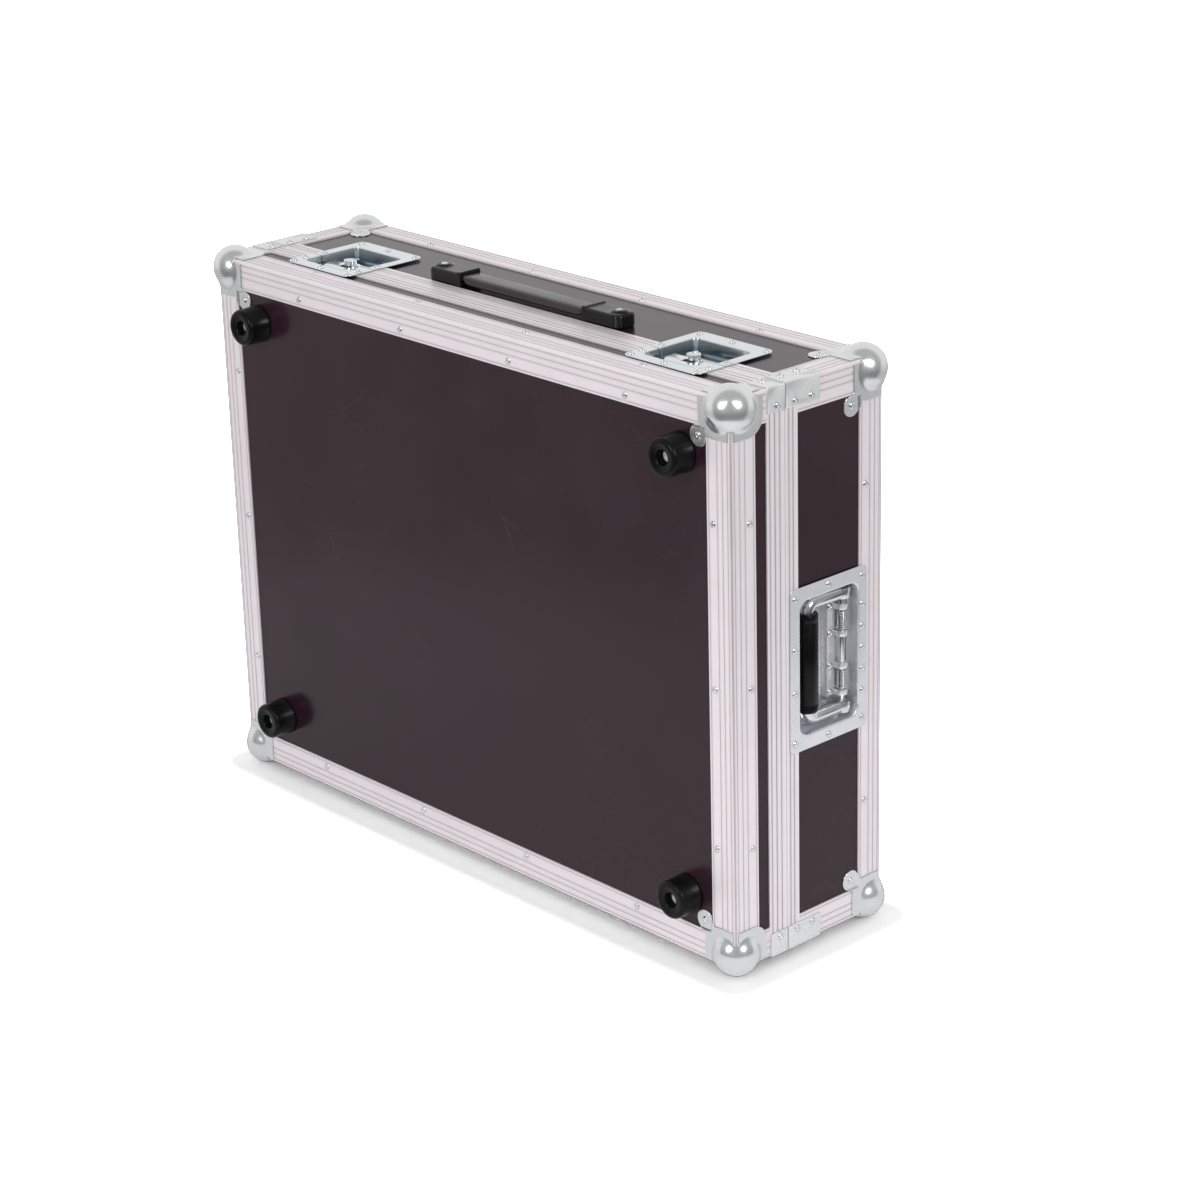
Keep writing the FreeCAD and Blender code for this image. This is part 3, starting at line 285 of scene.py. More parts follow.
long_profile = profile_finish("aluminium_along_width", 0, True)
short_profile = profile_finish("aluminium_along_height", 2, True)
deep_profile = profile_finish("aluminium_along_depth", 1, True)
long_closing = profile_finish("closing_along_width", 0, False)
short_closing = profile_finish("closing_along_height", 2, False)
for half in ("tray", "lid"):
    dress(long_profile, half + "_long_edges")
    dress(short_profile, half + "_short_edges")
    dress(deep_profile, half + "_corner_edges")
    dress(long_closing, half + "_closing_long")
    dress(short_closing, half + "_closing_short")


# Ball corners
# Each is deep drawn from one steel sheet: a ball with a flared collar, three rounded wings over the
# profiles, and ears that step down to the panels. Bright zinc plated, with a faint blue cast.
ball_radius = 22.2
ball_inset = 12.5
ball_sheet = 1.3
wing_reach = 39.0
wing_rounding = 18.0
ear_place = 40.0
ear_radius = 10.3
ear_drop = 1.5
profile_leg = 30.4
profile_rounding = 2.5
slot_width = 2.8
slot_start = 28.0
slot_end = 51.0
slot_easing = 1.2
ball_fillet = 3.5
ear_fillet = 6.0
ear_step = 2.0
sheet_easing = 0.7
profile_clearance = 0.05


def plating_group():
    """Cloudy tone and fine grain of a zinc plated pressing."""
    inputs = [("Grain size", "NodeSocketFloat", 220.0)]
    group, start, end = new_group("plating", inputs, ["Cloud", "Grain"])
    place = add_node(group, "ShaderNodeTexCoord").outputs["Object"]
    cloud = add_node(group, "ShaderNodeTexNoise", Vector=place, Scale=34.0, Detail=4.0, Roughness=0.6)
    grain = add_node(group, "ShaderNodeTexNoise", Vector=place, Scale=start.outputs["Grain size"],
                     Detail=3.0)
    group.links.new(cloud.outputs[0], end.inputs["Cloud"])
    group.links.new(grain.outputs[0], end.inputs["Grain"])
    return group


plating = plating_group()


def zinc_finish(name, smooth, rough, dull, bright, metallic=1.0):
    """Zinc plating whose tone runs from dull to bright and whose roughness changes with the smudges."""
    finish, tree, shader = new_finish(name, metallic=metallic)
    zinc = place_group(tree, plating, Grain_size=240.0)
    marks = place_group(tree, handling_marks, Smudge_size=30.0, Scratch_size=60.0)
    colour = tinted(tree, zinc["Cloud"], (*dull, 1), (*bright, 1))
    tree.links.new(colour, shader.inputs["Base Color"])
    tree.links.new(between(tree, marks["Smudge"], smooth, rough), shader.inputs["Roughness"])
    height = math_node(tree, "SUBTRACT", zinc["Grain"], marks["Scratch"])
    bump = add_node(tree, "ShaderNodeBump", Height=height, Strength=0.06, Distance=0.0002)
    tree.links.new(bump.outputs[0], shader.inputs["Normal"])
    return finish


def smooth_union(first, second, fillet):
    """Distance to two joined forms with a fillet between them."""
    share = np.clip(0.5 + 0.5 * (second - first) / fillet, 0, 1)
    return second + (first - second) * share - fillet * share * (1 - share)


def smooth_cut(form, tool, fillet):
    """Distance to a form with a tool taken out of it, eased at the edge of the cut."""
    return -smooth_union(-form, tool, fillet)


def rounded_outline(x, y, half_x, half_y, rounding):
    """Distance to a flat rectangle with rounded corners."""
    across = np.abs(x) - half_x + rounding
    along = np.abs(y) - half_y + rounding
    outer = np.hypot(np.maximum(across, 0), np.maximum(along, 0))
    return outer + np.minimum(np.maximum(across, along), 0) - rounding


def slab(outline, height, low, high, easing):
    """Distance to an outline made thick, with eased edges."""
    flat = outline + easing
    thick = np.abs(height - (low + high) / 2) - (high - low) / 2 + easing
    outer = np.hypot(np.maximum(flat, 0), np.maximum(thick, 0))
    return outer + np.minimum(np.maximum(flat, thick), 0) - easing


def slope(shape, points, reach=0.02):
    """Outward direction of a distance rule at each point."""
    rise = [shape(*(points + reach * way).T) - shape(*(points - reach * way).T) for way in np.eye(3)]
    return np.stack(rise, axis=1) / (2 * reach)


def new_piece(name, mesh, finish):
    """An object in the scene with one finish."""
    made = bpy.data.objects.new(name, mesh)
    bpy.context.scene.collection.objects.link(made)
    mesh.materials.clear()
    mesh.materials.append(finish)
    return made


def applied_mesh(carrier):
    """The mesh of an object with its modifiers applied."""
    bpy.context.view_layer.update()
    return bpy.data.meshes.new_from_object(carrier.evaluated_get(bpy.context.evaluated_depsgraph_get()))


def thinned(mesh, share):
    """A mesh with fewer faces where it is flat."""
    carrier = bpy.data.objects.new("carrier", mesh)
    bpy.context.scene.collection.objects.link(carrier)
    thin = carrier.modifiers.new("thin", "DECIMATE")
    thin.ratio = share
    result = applied_mesh(carrier)
    bpy.data.objects.remove(carrier)
    bpy.data.meshes.remove(mesh)
    return result


def moulded(name, finish, shape, low, high, step, share, places):
    """A form given by its distance rule in millimetres, meshed once and set in each place."""
    axes = [np.arange(start, end + step, step) for start, end in zip(low, high)]
    field = openvdb.FloatGrid(1.0)
    field.copyFromArray(shape(*np.meshgrid(*axes, indexing="ij")).astype(np.float32))
    points, quads = field.convertToQuads()
    points = np.array(low) + points.astype(float) * step
    for settling in range(3):
        way = slope(shape, points)
        move = shape(*points.T) / np.maximum((way * way).sum(1), 0.25)
        points -= way * np.clip(move, -step / 2, step / 2)[:, None]
    corners = points[quads]
    facing = np.cross(corners[:, 2] - corners[:, 0], corners[:, 3] - corners[:, 1])
    if (facing * slope(shape, corners.mean(1))).sum() < 0:
        quads = quads[:, ::-1]
    raw = bpy.data.meshes.new(name + "_raw")
    raw.from_pydata(points.tolist(), [], quads.tolist())
    raw = thinned(raw, share)
    points = np.array([vert.co for vert in raw.vertices], float)
    ways = slope(shape, points)
    ways /= np.maximum(np.linalg.norm(ways, axis=1), 1e-6)[:, None]
    loops = [list(face.vertices) for face in raw.polygons]
    bpy.data.meshes.remove(raw)
    all_points = []
    all_ways = []
    all_faces = []
    for count, (turn, origin) in enumerate(places):
        turn = np.array(turn, float)
        order = 1 if np.linalg.det(turn) > 0 else -1
        all_points.append((points @ turn + np.array(origin)) * mm)
        all_ways.append(ways @ turn)
        all_faces += [[count * len(points) + corner for corner in face[::order]] for face in loops]
    mesh = bpy.data.meshes.new(name)
    mesh.from_pydata(np.concatenate(all_points).tolist(), [], all_faces)
    mesh.shade_smooth()
    mesh.normals_split_custom_set_from_vertices(np.concatenate(all_ways).tolist())
    return new_piece(name, mesh, finish)


def ball_corner(ears):
    """Distance rule of a corner; its axes run inwards from the side, the front and the top."""
    def shape(*inward):
        level = list(inward)
        for face in ears:
            first, second = inward[(face + 1) % 3], inward[(face + 2) % 3]
            past = np.minimum(first, second) - profile_leg
            level[face] = inward[face] - ear_drop * np.clip(past / ear_step, 0, 1)
        outside = [profile_rounding - value for value in level]
        away = np.sqrt(sum(np.maximum(value, 0) ** 2 for value in outside))
        skin = away + np.minimum(np.maximum.reduce(outside), 0) - profile_rounding
        small, middle, large = np.sort(np.stack(level), axis=0)
        limit = rounded_outline(middle, large, wing_reach, wing_reach, wing_rounding)
        for face in ears:
            first, second = inward[(face + 1) % 3], inward[(face + 2) % 3]
            ear = np.hypot(first - ear_place, second - ear_place) - ear_radius
            own = level[face] <= small
            limit = np.where(own, smooth_union(limit, ear, ear_fillet), limit)
        sheet = -smooth_union(-np.maximum(skin - ball_sheet, -skin), -limit, sheet_easing)
        ball = np.sqrt(sum((value - ball_inset) ** 2 for value in inward)) - ball_radius
        body = smooth_union(ball, sheet, ball_fillet)
        for face in range(3):
            beside = np.maximum(inward[(face + 1) % 3], inward[(face + 2) % 3]) - slot_width
            slot = slab(beside, inward[face], slot_start, slot_end, slot_easing)
            body = np.maximum(body, -slot)
        return np.maximum(body, profile_clearance - skin)
    return shape


def corner_places(front):
    """Turn and origin of the four corners of one half, in millimetres."""
    places = []
    for side in (1, -1):
        for up in (1, -1):
            depth = 1 if front else -1
            turn = np.diag([-side, depth, -up])
            x = side * case_half[0] / mm
            y = (case_low[1] if front else case_high[1]) / mm
            z = (case_high[2] if up > 0 else case_low[2]) / mm
            places.append((turn, (x, y, z)))
    return places


zinc_ball = zinc_finish("zinc_ball", 0.22, 0.28, (0.63, 0.645, 0.65), (0.69, 0.695, 0.69), 0.86)
for half, ears in (("tray", (1,)), ("lid", (0, 1, 2))):
    balls = moulded(half + "_balls", zinc_ball, ball_corner(ears), (-10.6, -10.6, -10.6),
                    (52.0, 52.0, 52.0), 0.55, 0.3, corner_places(half == "tray"))
    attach(balls, half)
    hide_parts(half + "_ball_corners")


# Corner braces and hinges
# Bent from zinc plated steel strip, with edges eased in the tumbler. The braces bind the corners at the
# seam, and the leaves of the hinges interleave round a headed pin under it.
def eased(name, body, finish, width):
    """A copy of a steel CAD piece with its edges eased, which stands for it."""
    form = bmesh.new()
    form.from_mesh(nodes[name].data)
    bmesh.ops.remove_doubles(form, verts=form.verts, dist=2e-6)
    bmesh.ops.dissolve_limit(form, angle_limit=math.radians(0.6), verts=form.verts, edges=form.edges)
    mesh = bpy.data.meshes.new(name + "_eased")
    form.to_mesh(mesh)
    form.free()
    mesh.shade_smooth()
    made = new_piece(name + "_eased", mesh, finish)
    ease = made.modifiers.new("ease", "BEVEL")
    ease.width = width * mm
    ease.segments = 2
    ease.limit_method = "ANGLE"
    ease.angle_limit = math.radians(40)
    ease.use_clamp_overlap = True
    ease.harden_normals = True
    mesh = applied_mesh(made)
    made.modifiers.remove(ease)
    made.data = mesh
    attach(made, body)
    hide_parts(name)


zinc_sheet = zinc_finish("zinc_sheet", 0.24, 0.34, (0.64, 0.65, 0.655), (0.71, 0.715, 0.71), 0.6)
for half in ("tray", "lid"):
    eased(half + "_corner_braces", half, zinc_sheet, 0.35)
    eased(half + "_hinge_leaves", half, zinc_sheet, 0.3)
eased("hinge_pins", "tray", zinc_sheet, 0.4)


# Pop rivets
# Aluminium blind rivets with domed heads, each with the dimple that its pulled mandrel leaves. They hold
# the profiles, corners, braces and dishes to the panels.
def rivet_places(name):
    """Seat and outward direction of each rivet of a CAD group."""
    mesh = bmesh.new()
    mesh.from_mesh(nodes[name].data)
    bmesh.ops.remove_doubles(mesh, verts=mesh.verts, dist=1e-6)
    left = set(mesh.verts)
    places = []
    while left:
        island = {left.pop()}
        edge = list(island)
        while edge:
            vert = edge.pop()
            for link in vert.link_edges:
                other = link.other_vert(vert)
                if other in left:
                    left.discard(other)
                    island.add(other)
                    edge.append(other)
        points = np.array([vert.co for vert in island])
        low = points.min(0)
        high = points.max(0)
        along = int(np.argmax(high - low))
        across = [axis for axis in range(3) if axis != along]
        middle = (low + high) / 2
        radius = np.hypot(*(points[:, across] - middle[across]).T)
        head = points[radius > 0.95 * radius.max(), along]
        sign = 1.0 if head.mean() > middle[along] else -1.0
        seat = middle.copy()
        seat[along] = head.min() if sign > 0 else head.max()
        outward = np.zeros(3)
        outward[along] = sign
        places.append((tuple(seat), tuple(outward)))
    mesh.free()
    return sorted(places)


def turned(name, profile, steps):
    """A mesh turned round Z from (radius, height) points in millimetres."""
    shape = bmesh.new()
    verts = [shape.verts.new((r * mm, 0.0, z * mm)) for r, z in profile]
    edges = [shape.edges.new(pair) for pair in zip(verts, verts[1:])]
    bmesh.ops.spin(shape, geom=verts + edges, cent=(0, 0, 0), axis=(0, 0, 1), angle=math.tau, steps=steps)
    bmesh.ops.remove_doubles(shape, verts=shape.verts, dist=1e-7)
    bmesh.ops.recalc_face_normals(shape, faces=shape.faces)
    if max(shape.faces, key=lambda face: face.calc_center_median().z).normal.z < 0:
        bmesh.ops.reverse_faces(shape, faces=shape.faces)
    mesh = bpy.data.meshes.new(name)
    shape.to_mesh(mesh)
    shape.free()
    mesh.shade_smooth()
    return mesh


def copies_tree(name):
    """Sets a template on each point, turned to the point's outward direction."""
    tree = bpy.data.node_groups.new(name, "GeometryNodeTree")
    tree.interface.new_socket("Seats", in_out="INPUT", socket_type="NodeSocketGeometry")
    tree.interface.new_socket("Template", in_out="INPUT", socket_type="NodeSocketObject")
    size_socket = tree.interface.new_socket("Size", in_out="INPUT", socket_type="NodeSocketFloat")
    size_socket.default_value = 1.0
    tree.interface.new_socket("Finish", in_out="INPUT", socket_type="NodeSocketMaterial")
    tree.interface.new_socket("Copies", in_out="OUTPUT", socket_type="NodeSocketGeometry")
    start = tree.nodes.new("NodeGroupInput")
    end = tree.nodes.new("NodeGroupOutput")
    outward = add_node(tree, "GeometryNodeInputNamedAttribute", {"data_type": "FLOAT_VECTOR"},
                       Name="outward")
    turn = add_node(tree, "FunctionNodeAlignRotationToVector", {"axis": "Z"}, Vector=outward.outputs[0])
    template = add_node(tree, "GeometryNodeObjectInfo", Object=start.outputs["Template"])
    size = start.outputs["Size"]
    scale = add_node(tree, "ShaderNodeCombineXYZ", X=size, Y=size, Z=size)
    placed = add_node(tree, "GeometryNodeInstanceOnPoints", Points=start.outputs["Seats"],
                      Instance=template.outputs["Geometry"], Rotation=turn.outputs[0],
                      Scale=scale.outputs[0])
    solid = add_node(tree, "GeometryNodeRealizeInstances", Geometry=placed.outputs[0])
    painted = add_node(tree, "GeometryNodeSetMaterial", Geometry=solid.outputs[0],
                       Material=start.outputs["Finish"])
    tree.links.new(painted.outputs[0], end.inputs[0])
    return tree


set_on_seats = copies_tree("set_on_seats")


def set_copies(name, places, template_mesh, finish):
    """One plain mesh of a template set on (seat, outward) places by the geometry tree."""
    seats = bpy.data.meshes.new(name + "_seats")
    seats.from_pydata([seat for seat, outward in places], [], [])
    direction = seats.attributes.new("outward", "FLOAT_VECTOR", "POINT")
    ways = np.array([outward for seat, outward in places], np.float32)
    direction.data.foreach_set("vector", ways.ravel())
    template = bpy.data.objects.new(name + "_template", template_mesh)
    bpy.context.scene.collection.objects.link(template)
    made = bpy.data.objects.new(name, seats)
    bpy.context.scene.collection.objects.link(made)
    grow = made.modifiers.new("grow", "NODES")
    grow.node_group = set_on_seats
    values = {"Template": template, "Size": 1.0, "Finish": finish}
    for item in set_on_seats.interface.items_tree:
        if item.in_out == "INPUT" and item.name in values:
            grow[item.identifier] = values[item.name]
    mesh = applied_mesh(made)
    made.modifiers.remove(grow)
    made.data = mesh
    mesh.name = name
    bpy.data.objects.remove(template)
    return made


rivet_aluminium = zinc_finish("rivet_aluminium", 0.2, 0.32, (0.66, 0.665, 0.67), (0.74, 0.74, 0.735))
rivet_profile = [
    (3.5, 0.0), (3.48, 0.35), (3.05, 0.95), (2.3, 1.32), (1.5, 1.5), (1.3, 1.35), (1.15, 0.55), (0.0, 0.4),
]
for half in ("tray", "lid"):
    rivets = set_copies(half + "_rivet_heads", rivet_places(half + "_rivets"),
                        turned("rivet_head", rivet_profile, 16), rivet_aluminium)
    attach(rivets, half)
    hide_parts(half + "_rivets")


# Rubber feet
# Moulded black rubber with a rounded rim and a dished face. Each is held to the base panel by one screw
# with a washer at the bottom of its well.
foot_radius = 19.0


def rubber_finish(name, tone, roughness, ior):
    """Rubber or moulded plastic with a fine skin, a little faded where hands smudge it."""
    finish, tree, shader = new_finish(name)
    shader.inputs["IOR"].default_value = ior
    marks = place_group(tree, handling_marks, Smudge_size=22.0, Scratch_size=45.0)
    faded = [1.5 * share for share in tone]
    colour = tinted(tree, marks["Smudge"], (*tone, 1), (*faded, 1))
    tree.links.new(colour, shader.inputs["Base Color"])
    tree.links.new(between(tree, marks["Smudge"], roughness, roughness + 0.1), shader.inputs["Roughness"])
    place = add_node(tree, "ShaderNodeTexCoord").outputs["Object"]
    skin = add_node(tree, "ShaderNodeTexNoise", Vector=place, Scale=900.0, Detail=2.0)
    bump = add_node(tree, "ShaderNodeBump", Height=skin.outputs[0], Strength=0.1, Distance=0.0002)
    tree.links.new(bump.outputs[0], shader.inputs["Normal"])
    return finish


def foot_places():
    """Seat on the base panel of each foot."""
    low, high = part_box("rubber_feet")
    reach = foot_radius * mm
    seats = []
    for x in (low.x + reach, high.x - reach):
        for z in (low.z + reach, high.z - reach):
            seats.append(((x, high.y, z), (0.0, -1.0, 0.0)))
    return seats


foot_rubber = rubber_finish("foot_rubber", (0.003, 0.003, 0.003), 0.22, 1.22)
foot_profile = [
    (3.2, 0.0), (18.6, 0.0), (foot_radius, 0.4), (18.95, 2.6), (18.6, 3.0), (18.25, 21.6), (18.1, 22.6),
    (17.6, 23.8), (16.7, 24.6), (15.4, 25.0), (12.6, 25.0), (11.9, 24.75), (11.2, 24.45), (9.4, 24.4),
    (8.3, 24.2), (7.5, 23.5), (7.2, 22.6), (7.2, 12.4), (6.9, 12.0), (3.2, 12.0), (3.2, 0.0),
]
feet = set_copies("rubber_foot_mouldings", foot_places(), turned("foot", foot_profile, 56), foot_rubber)
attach(feet, "tray")
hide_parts("rubber_feet")
eased("foot_washers", "tray", zinc_sheet, 0.25)
eased("foot_screws", "tray", zinc_sheet, 0.4)


# Butterfly latches
# Two pressed dishes that meet at the seam, let into the top wall. A hub turns on a riveted pivot in the
# rear dish and draws the hook over the lip of the front one; its wing folds flat into the recess.
latch_sheet = 1.2
latch_depth = 13.0
latch_half = 36.0
latch_flange = 48.5
latch_rounding = 9.0
dish_rounding = 5.0
wall_lean = 0.16
flange_easing = 0.45
floor_fillet = 3.0
rim_fillet = 1.6
far_side = 60.0
lip_place = 17.4
lip_half_width = 14.0
lip_half_depth = 1.0
lip_low = -14.0
lip_high = -11.3
lip_easing = 0.4
lip_fillet = 1.2
pivot_radius = 4.5


def latch_half_shape(seam, recess_end, flange_end, lip):
    """Distance rule of one half of a latch recess, with the hub's axis at the origin."""
    way = 1.0 if flange_end > seam else -1.0

    def shape(x, y, z):
        flange_middle = flange_end - way * far_side
        outline = rounded_outline(x, y - flange_middle, latch_flange, far_side, latch_rounding)
        flange = slab(outline, z, 0.0, latch_sheet, flange_easing)
        recess_middle = recess_end - way * far_side
        lean = wall_lean * np.clip(-z, 0, latch_depth)
        mouth = rounded_outline(x, y - recess_middle, latch_half, far_side, dish_rounding) + lean
        tub = np.maximum(np.maximum(mouth - latch_sheet, -latch_depth - latch_sheet - z), z - latch_sheet)
        hollow = -smooth_union(-mouth, latch_depth + z, floor_fillet)
        form = smooth_cut(np.minimum(flange, tub), hollow, rim_fillet)
        if lip:
            outline = rounded_outline(x, y + lip_place, lip_half_width, lip_half_depth, lip_easing)
            form = smooth_union(form, slab(outline, z, lip_low, lip_high, lip_easing), lip_fillet)
        return np.maximum(form, way * (seam - y))
    return shape


def latch_origins():
    """Hub axes on the top face of the case, in millimetres."""
    low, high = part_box("latch_pivots")
    x = high.x / mm - pivot_radius
    y = (low.y + high.y) / 2 / mm
    return [(np.eye(3), (side * x, y, case_high[2] / mm)) for side in (1, -1)]


def painted_recess_shade_and_light(finish, axis, level, depth, tone):
    """Paint shade or light into a finish: its colour runs to a tone towards the floor of a recess that goes
    into the case along an axis.
    """
    tree = finish.node_tree
    socket = tree.nodes["Principled BSDF"].inputs["Base Color"]
    colour = socket.links[0].from_socket
    place = add_node(tree, "ShaderNodeTexCoord").outputs["Object"]
    spread = add_node(tree, "ShaderNodeSeparateXYZ", in0=place)
    reach = math_node(tree, "ABSOLUTE", spread.outputs[axis])
    sunk = add_node(tree, "ShaderNodeMapRange", in0=reach, in1=level - depth, in2=level,
                    in3=1.0, in4=0.0)
    tree.links.new(tinted(tree, sunk.outputs[0], colour, (*tone, 1)), socket)


zinc_latch = zinc_finish("zinc_latch", 0.14, 0.22, (0.6, 0.65, 0.68), (0.69, 0.7, 0.71))
# Painted shade: the latch recesses turn darker and bluer towards their floors.
painted_recess_shade_and_light(zinc_latch, 2, float(case_high[2]), latch_depth * mm, (0.16, 0.23, 0.27))
for name, body, seam, recess_end, flange_end, low, high in (
    ("latch_keepers", "tray", -8.7, -29.9, -43.9, (-49.6, -45.0, -15.4), (49.6, -7.4, 2.0)),
    ("latch_dishes", "lid", -7.7, 38.0, 56.0, (-49.6, -9.0, -15.4), (49.6, 57.2, 2.0)),
):
    rule = latch_half_shape(seam, recess_end, flange_end, body == "tray")
    pressing = moulded(name + "_pressed", zinc_latch, rule, low, high, 0.5, 0.25, latch_origins())
    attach(pressing, body)
    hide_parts(name)
zinc_bright = zinc_finish("zinc_bright", 0.14, 0.24, (0.64, 0.67, 0.69), (0.72, 0.73, 0.73))
eased("latch_pivots", "lid", zinc_bright, 0.3)
for side in ("right", "left"):
    eased("latch_rotor_" + side, "latch_rotor_" + side, zinc_bright, 0.4)
    eased("latch_hook_" + side, "latch_hook_" + side, zinc_sheet, 0.35)
    eased("latch_wing_" + side, "latch_wing_" + side, zinc_bright, 0.5)


# Carry handle
# Two moulded caps, each held by one screw through a raised boss, and a flat moulded strap between them
# whose ends slide in the caps, so that it lifts off the panel in the hand.
cap_inner_end = 87.0
cap_outer_end = 136.0
cap_half_width = 12.7
cap_body_height = 14.2
cap_rounding = 8.0
cap_easing = 2.6
cap_screw = 125.0
boss_radius = 7.2
boss_top = 16.0
boss_fillet = 4.0
heel_inset = 6.5
heel_radius = 4.0
heel_top = 15.4
heel_fillet = 3.0
collar_half = 2.6
collar_half_width = 13.0
collar_top = 15.6
collar_fillet = 1.6
pocket_clearance = 0.4
pocket_middle = 9.5
pocket_half_height = 3.4
strap_half_width = 11.0
strap_low = 6.5
strap_high = 12.5
strap_bend = 40.0
strap_tail = 114.0
strap_padding = 3.4
padding_end = 86.0
padding_taper = 9.0


def cap_shape(x, y, z):
    """Distance rule of the right-hand cap, from the middle of the handle and the face of the panel."""
    outline = rounded_outline(x - cap_outer_end + far_side, y, far_side, cap_half_width, cap_rounding)
    body = slab(np.maximum(outline, cap_inner_end - x), z, 0.0, cap_body_height, cap_easing)
    boss = slab(np.hypot(x - cap_screw, y) - boss_radius, z, 1.0, boss_top, 1.6)
    body = smooth_union(body, boss, boss_fillet)
    heel = slab(np.hypot(x - cap_outer_end + heel_inset, y) - heel_radius, z, 1.0, heel_top, 1.4)
    body = smooth_union(body, heel, heel_fillet)
    beside = np.abs(x - cap_inner_end - collar_half) - collar_half
    collar = slab(np.maximum(beside, np.abs(y) - collar_half_width), z, 0.0, collar_top, 1.2)
    body = smooth_union(body, collar, collar_fillet)
    mouth = np.maximum(np.abs(y) - strap_half_width - pocket_clearance,
                       np.abs(z - pocket_middle) - pocket_half_height)
    pocket = np.maximum(mouth, x - strap_tail - pocket_clearance)
    return np.maximum(body, -pocket)


def carry_origin():
    """Middle of the handle on the face of the panel, in millimetres."""
    low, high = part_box("carry_handle_caps")
    return 0.0, (low.y + high.y) / 2 / mm, low.z / mm


def closed_mesh(name, points, faces, sharp_angle):
    """A closed mesh with its faces turned outwards, shaded smooth up to an angle."""
    mesh = bpy.data.meshes.new(name)
    mesh.from_pydata(points, [], faces)
    form = bmesh.new()
    form.from_mesh(mesh)
    bmesh.ops.recalc_face_normals(form, faces=form.faces)
    form.to_mesh(mesh)
    form.free()
    mesh.shade_smooth()
    mesh.set_sharp_from_angle(angle=math.radians(sharp_angle))
    return mesh


def strap_run(name, start, end, finish):
    """A stretch of the strap: a crowned section, grooved beside its edges and padded below the hand."""
    half = [
        (0.0, 0.0), (4.0, -0.05), (8.0, -0.14), (8.3, -0.2), (8.7, -0.55), (9.1, -0.25), (9.4, -0.28),
        (10.2, -0.6), (10.8, -1.2), (strap_half_width, -2.2),
    ]
    top = [(-y, strap_high + z) for y, z in half[:0:-1]] + [(y, strap_high + z) for y, z in half]
    middle, panel = carry_origin()[1:]
    stations = np.linspace(start, end, max(2, int(abs(end - start) / 2)))
    points = []
    for x in stations:
        share = min(max((padding_end - abs(x)) / padding_taper, 0.0), 1.0)
        low = strap_low - strap_padding * share * share * (3 - 2 * share)
        bottom = [(strap_half_width, low + 2.0), (10.4, low + 0.7), (9.2, low)]
        bottom += [(-y, z) for y, z in bottom[::-1]]
        section = top + bottom
        points += [(x * mm, (middle + y) * mm, (panel + z) * mm) for y, z in section]
    size = len(section)
    faces = []
    for row in range(len(stations) - 1):
        for spot in range(size):
            near = row * size + spot
            beside = row * size + (spot + 1) % size
            faces.append((near, beside, beside + size, near + size))
    faces.append(tuple(range(size)))
    faces.append(tuple(range((len(stations) - 1) * size, len(stations) * size)))
    return new_piece(name, closed_mesh(name, points, faces, 50), finish)


handle_plastic = rubber_finish("handle_plastic", (0.004, 0.004, 0.004), 0.16, 1.36)
strap_skin = rubber_finish("strap_skin", (0.015, 0.010, 0.012), 0.2, 1.6)
cap_middle = carry_origin()
cap_places = [(np.eye(3), cap_middle), (np.diag([-1, 1, 1]), cap_middle)]
caps = moulded("carry_caps_moulded", handle_plastic, cap_shape, (86.0, -14.0, -1.0), (137.0, 14.0, 17.0),
               0.4, 0.3, cap_places)
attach(caps, "lid")
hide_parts("carry_handle_caps")
eased("carry_handle_screws", "lid", zinc_bright, 0.25)
strap_middle = strap_run("carry_strap_middle", -strap_bend, strap_bend, strap_skin)
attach(strap_middle, "carry_strap")
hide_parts("carry_strap")
for side, name in ((1, "right"), (-1, "left")):
    end = strap_run("carry_strap_end_" + name, side * strap_bend, side * strap_tail, strap_skin)
    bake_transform(end)
    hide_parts("carry_strap_tails")


# Side handles
# A dish pressed from zinc plated sheet is let into each short side and riveted all round. In it a bent
# bar with a rubber sleeve swings on a rod, and two coil springs on the rod press it back into the dish.
plate_sheet = 1.2
plate_half_height = 79.5
plate_front = 71.5
plate_rear = 172.0
recess_front = 84.8
recess_rear = 160.5
recess_half_height = 65.0
recess_depth = 22.0
plate_rounding = 5.0
recess_rounding = 10.0
recess_rim_fillet = 2.2


def handle_dish_shape(out, y, z):
    """Distance rule of a dish, from the outer face of the wall, the front of the case and mid height."""
    half_plate = (plate_rear - plate_front) / 2
    outline = rounded_outline(y - (plate_front + plate_rear) / 2, z, half_plate, plate_half_height,
                              plate_rounding)
    plate = slab(outline, out, 0.0, plate_sheet, flange_easing)
    half_recess = (recess_rear - recess_front) / 2
    mouth = rounded_outline(y - (recess_front + recess_rear) / 2, z, half_recess, recess_half_height,
                            recess_rounding)
    below = -recess_depth - plate_sheet - out
    tub = np.maximum(np.maximum(mouth - plate_sheet, below), out - plate_sheet)
    hollow = -smooth_union(-mouth, recess_depth + out, floor_fillet)
    return smooth_cut(np.minimum(plate, tub), hollow, recess_rim_fillet)


def side_dish_places():
    """Turn and origin of the dish on each short side, in millimetres."""
    middle = case_middle[2] / mm
    front = case_low[1] / mm
    face = case_half[0] / mm
    return [(np.eye(3), (face, front, middle)), (np.diag([-1, 1, 1]), (-face, front, middle))]


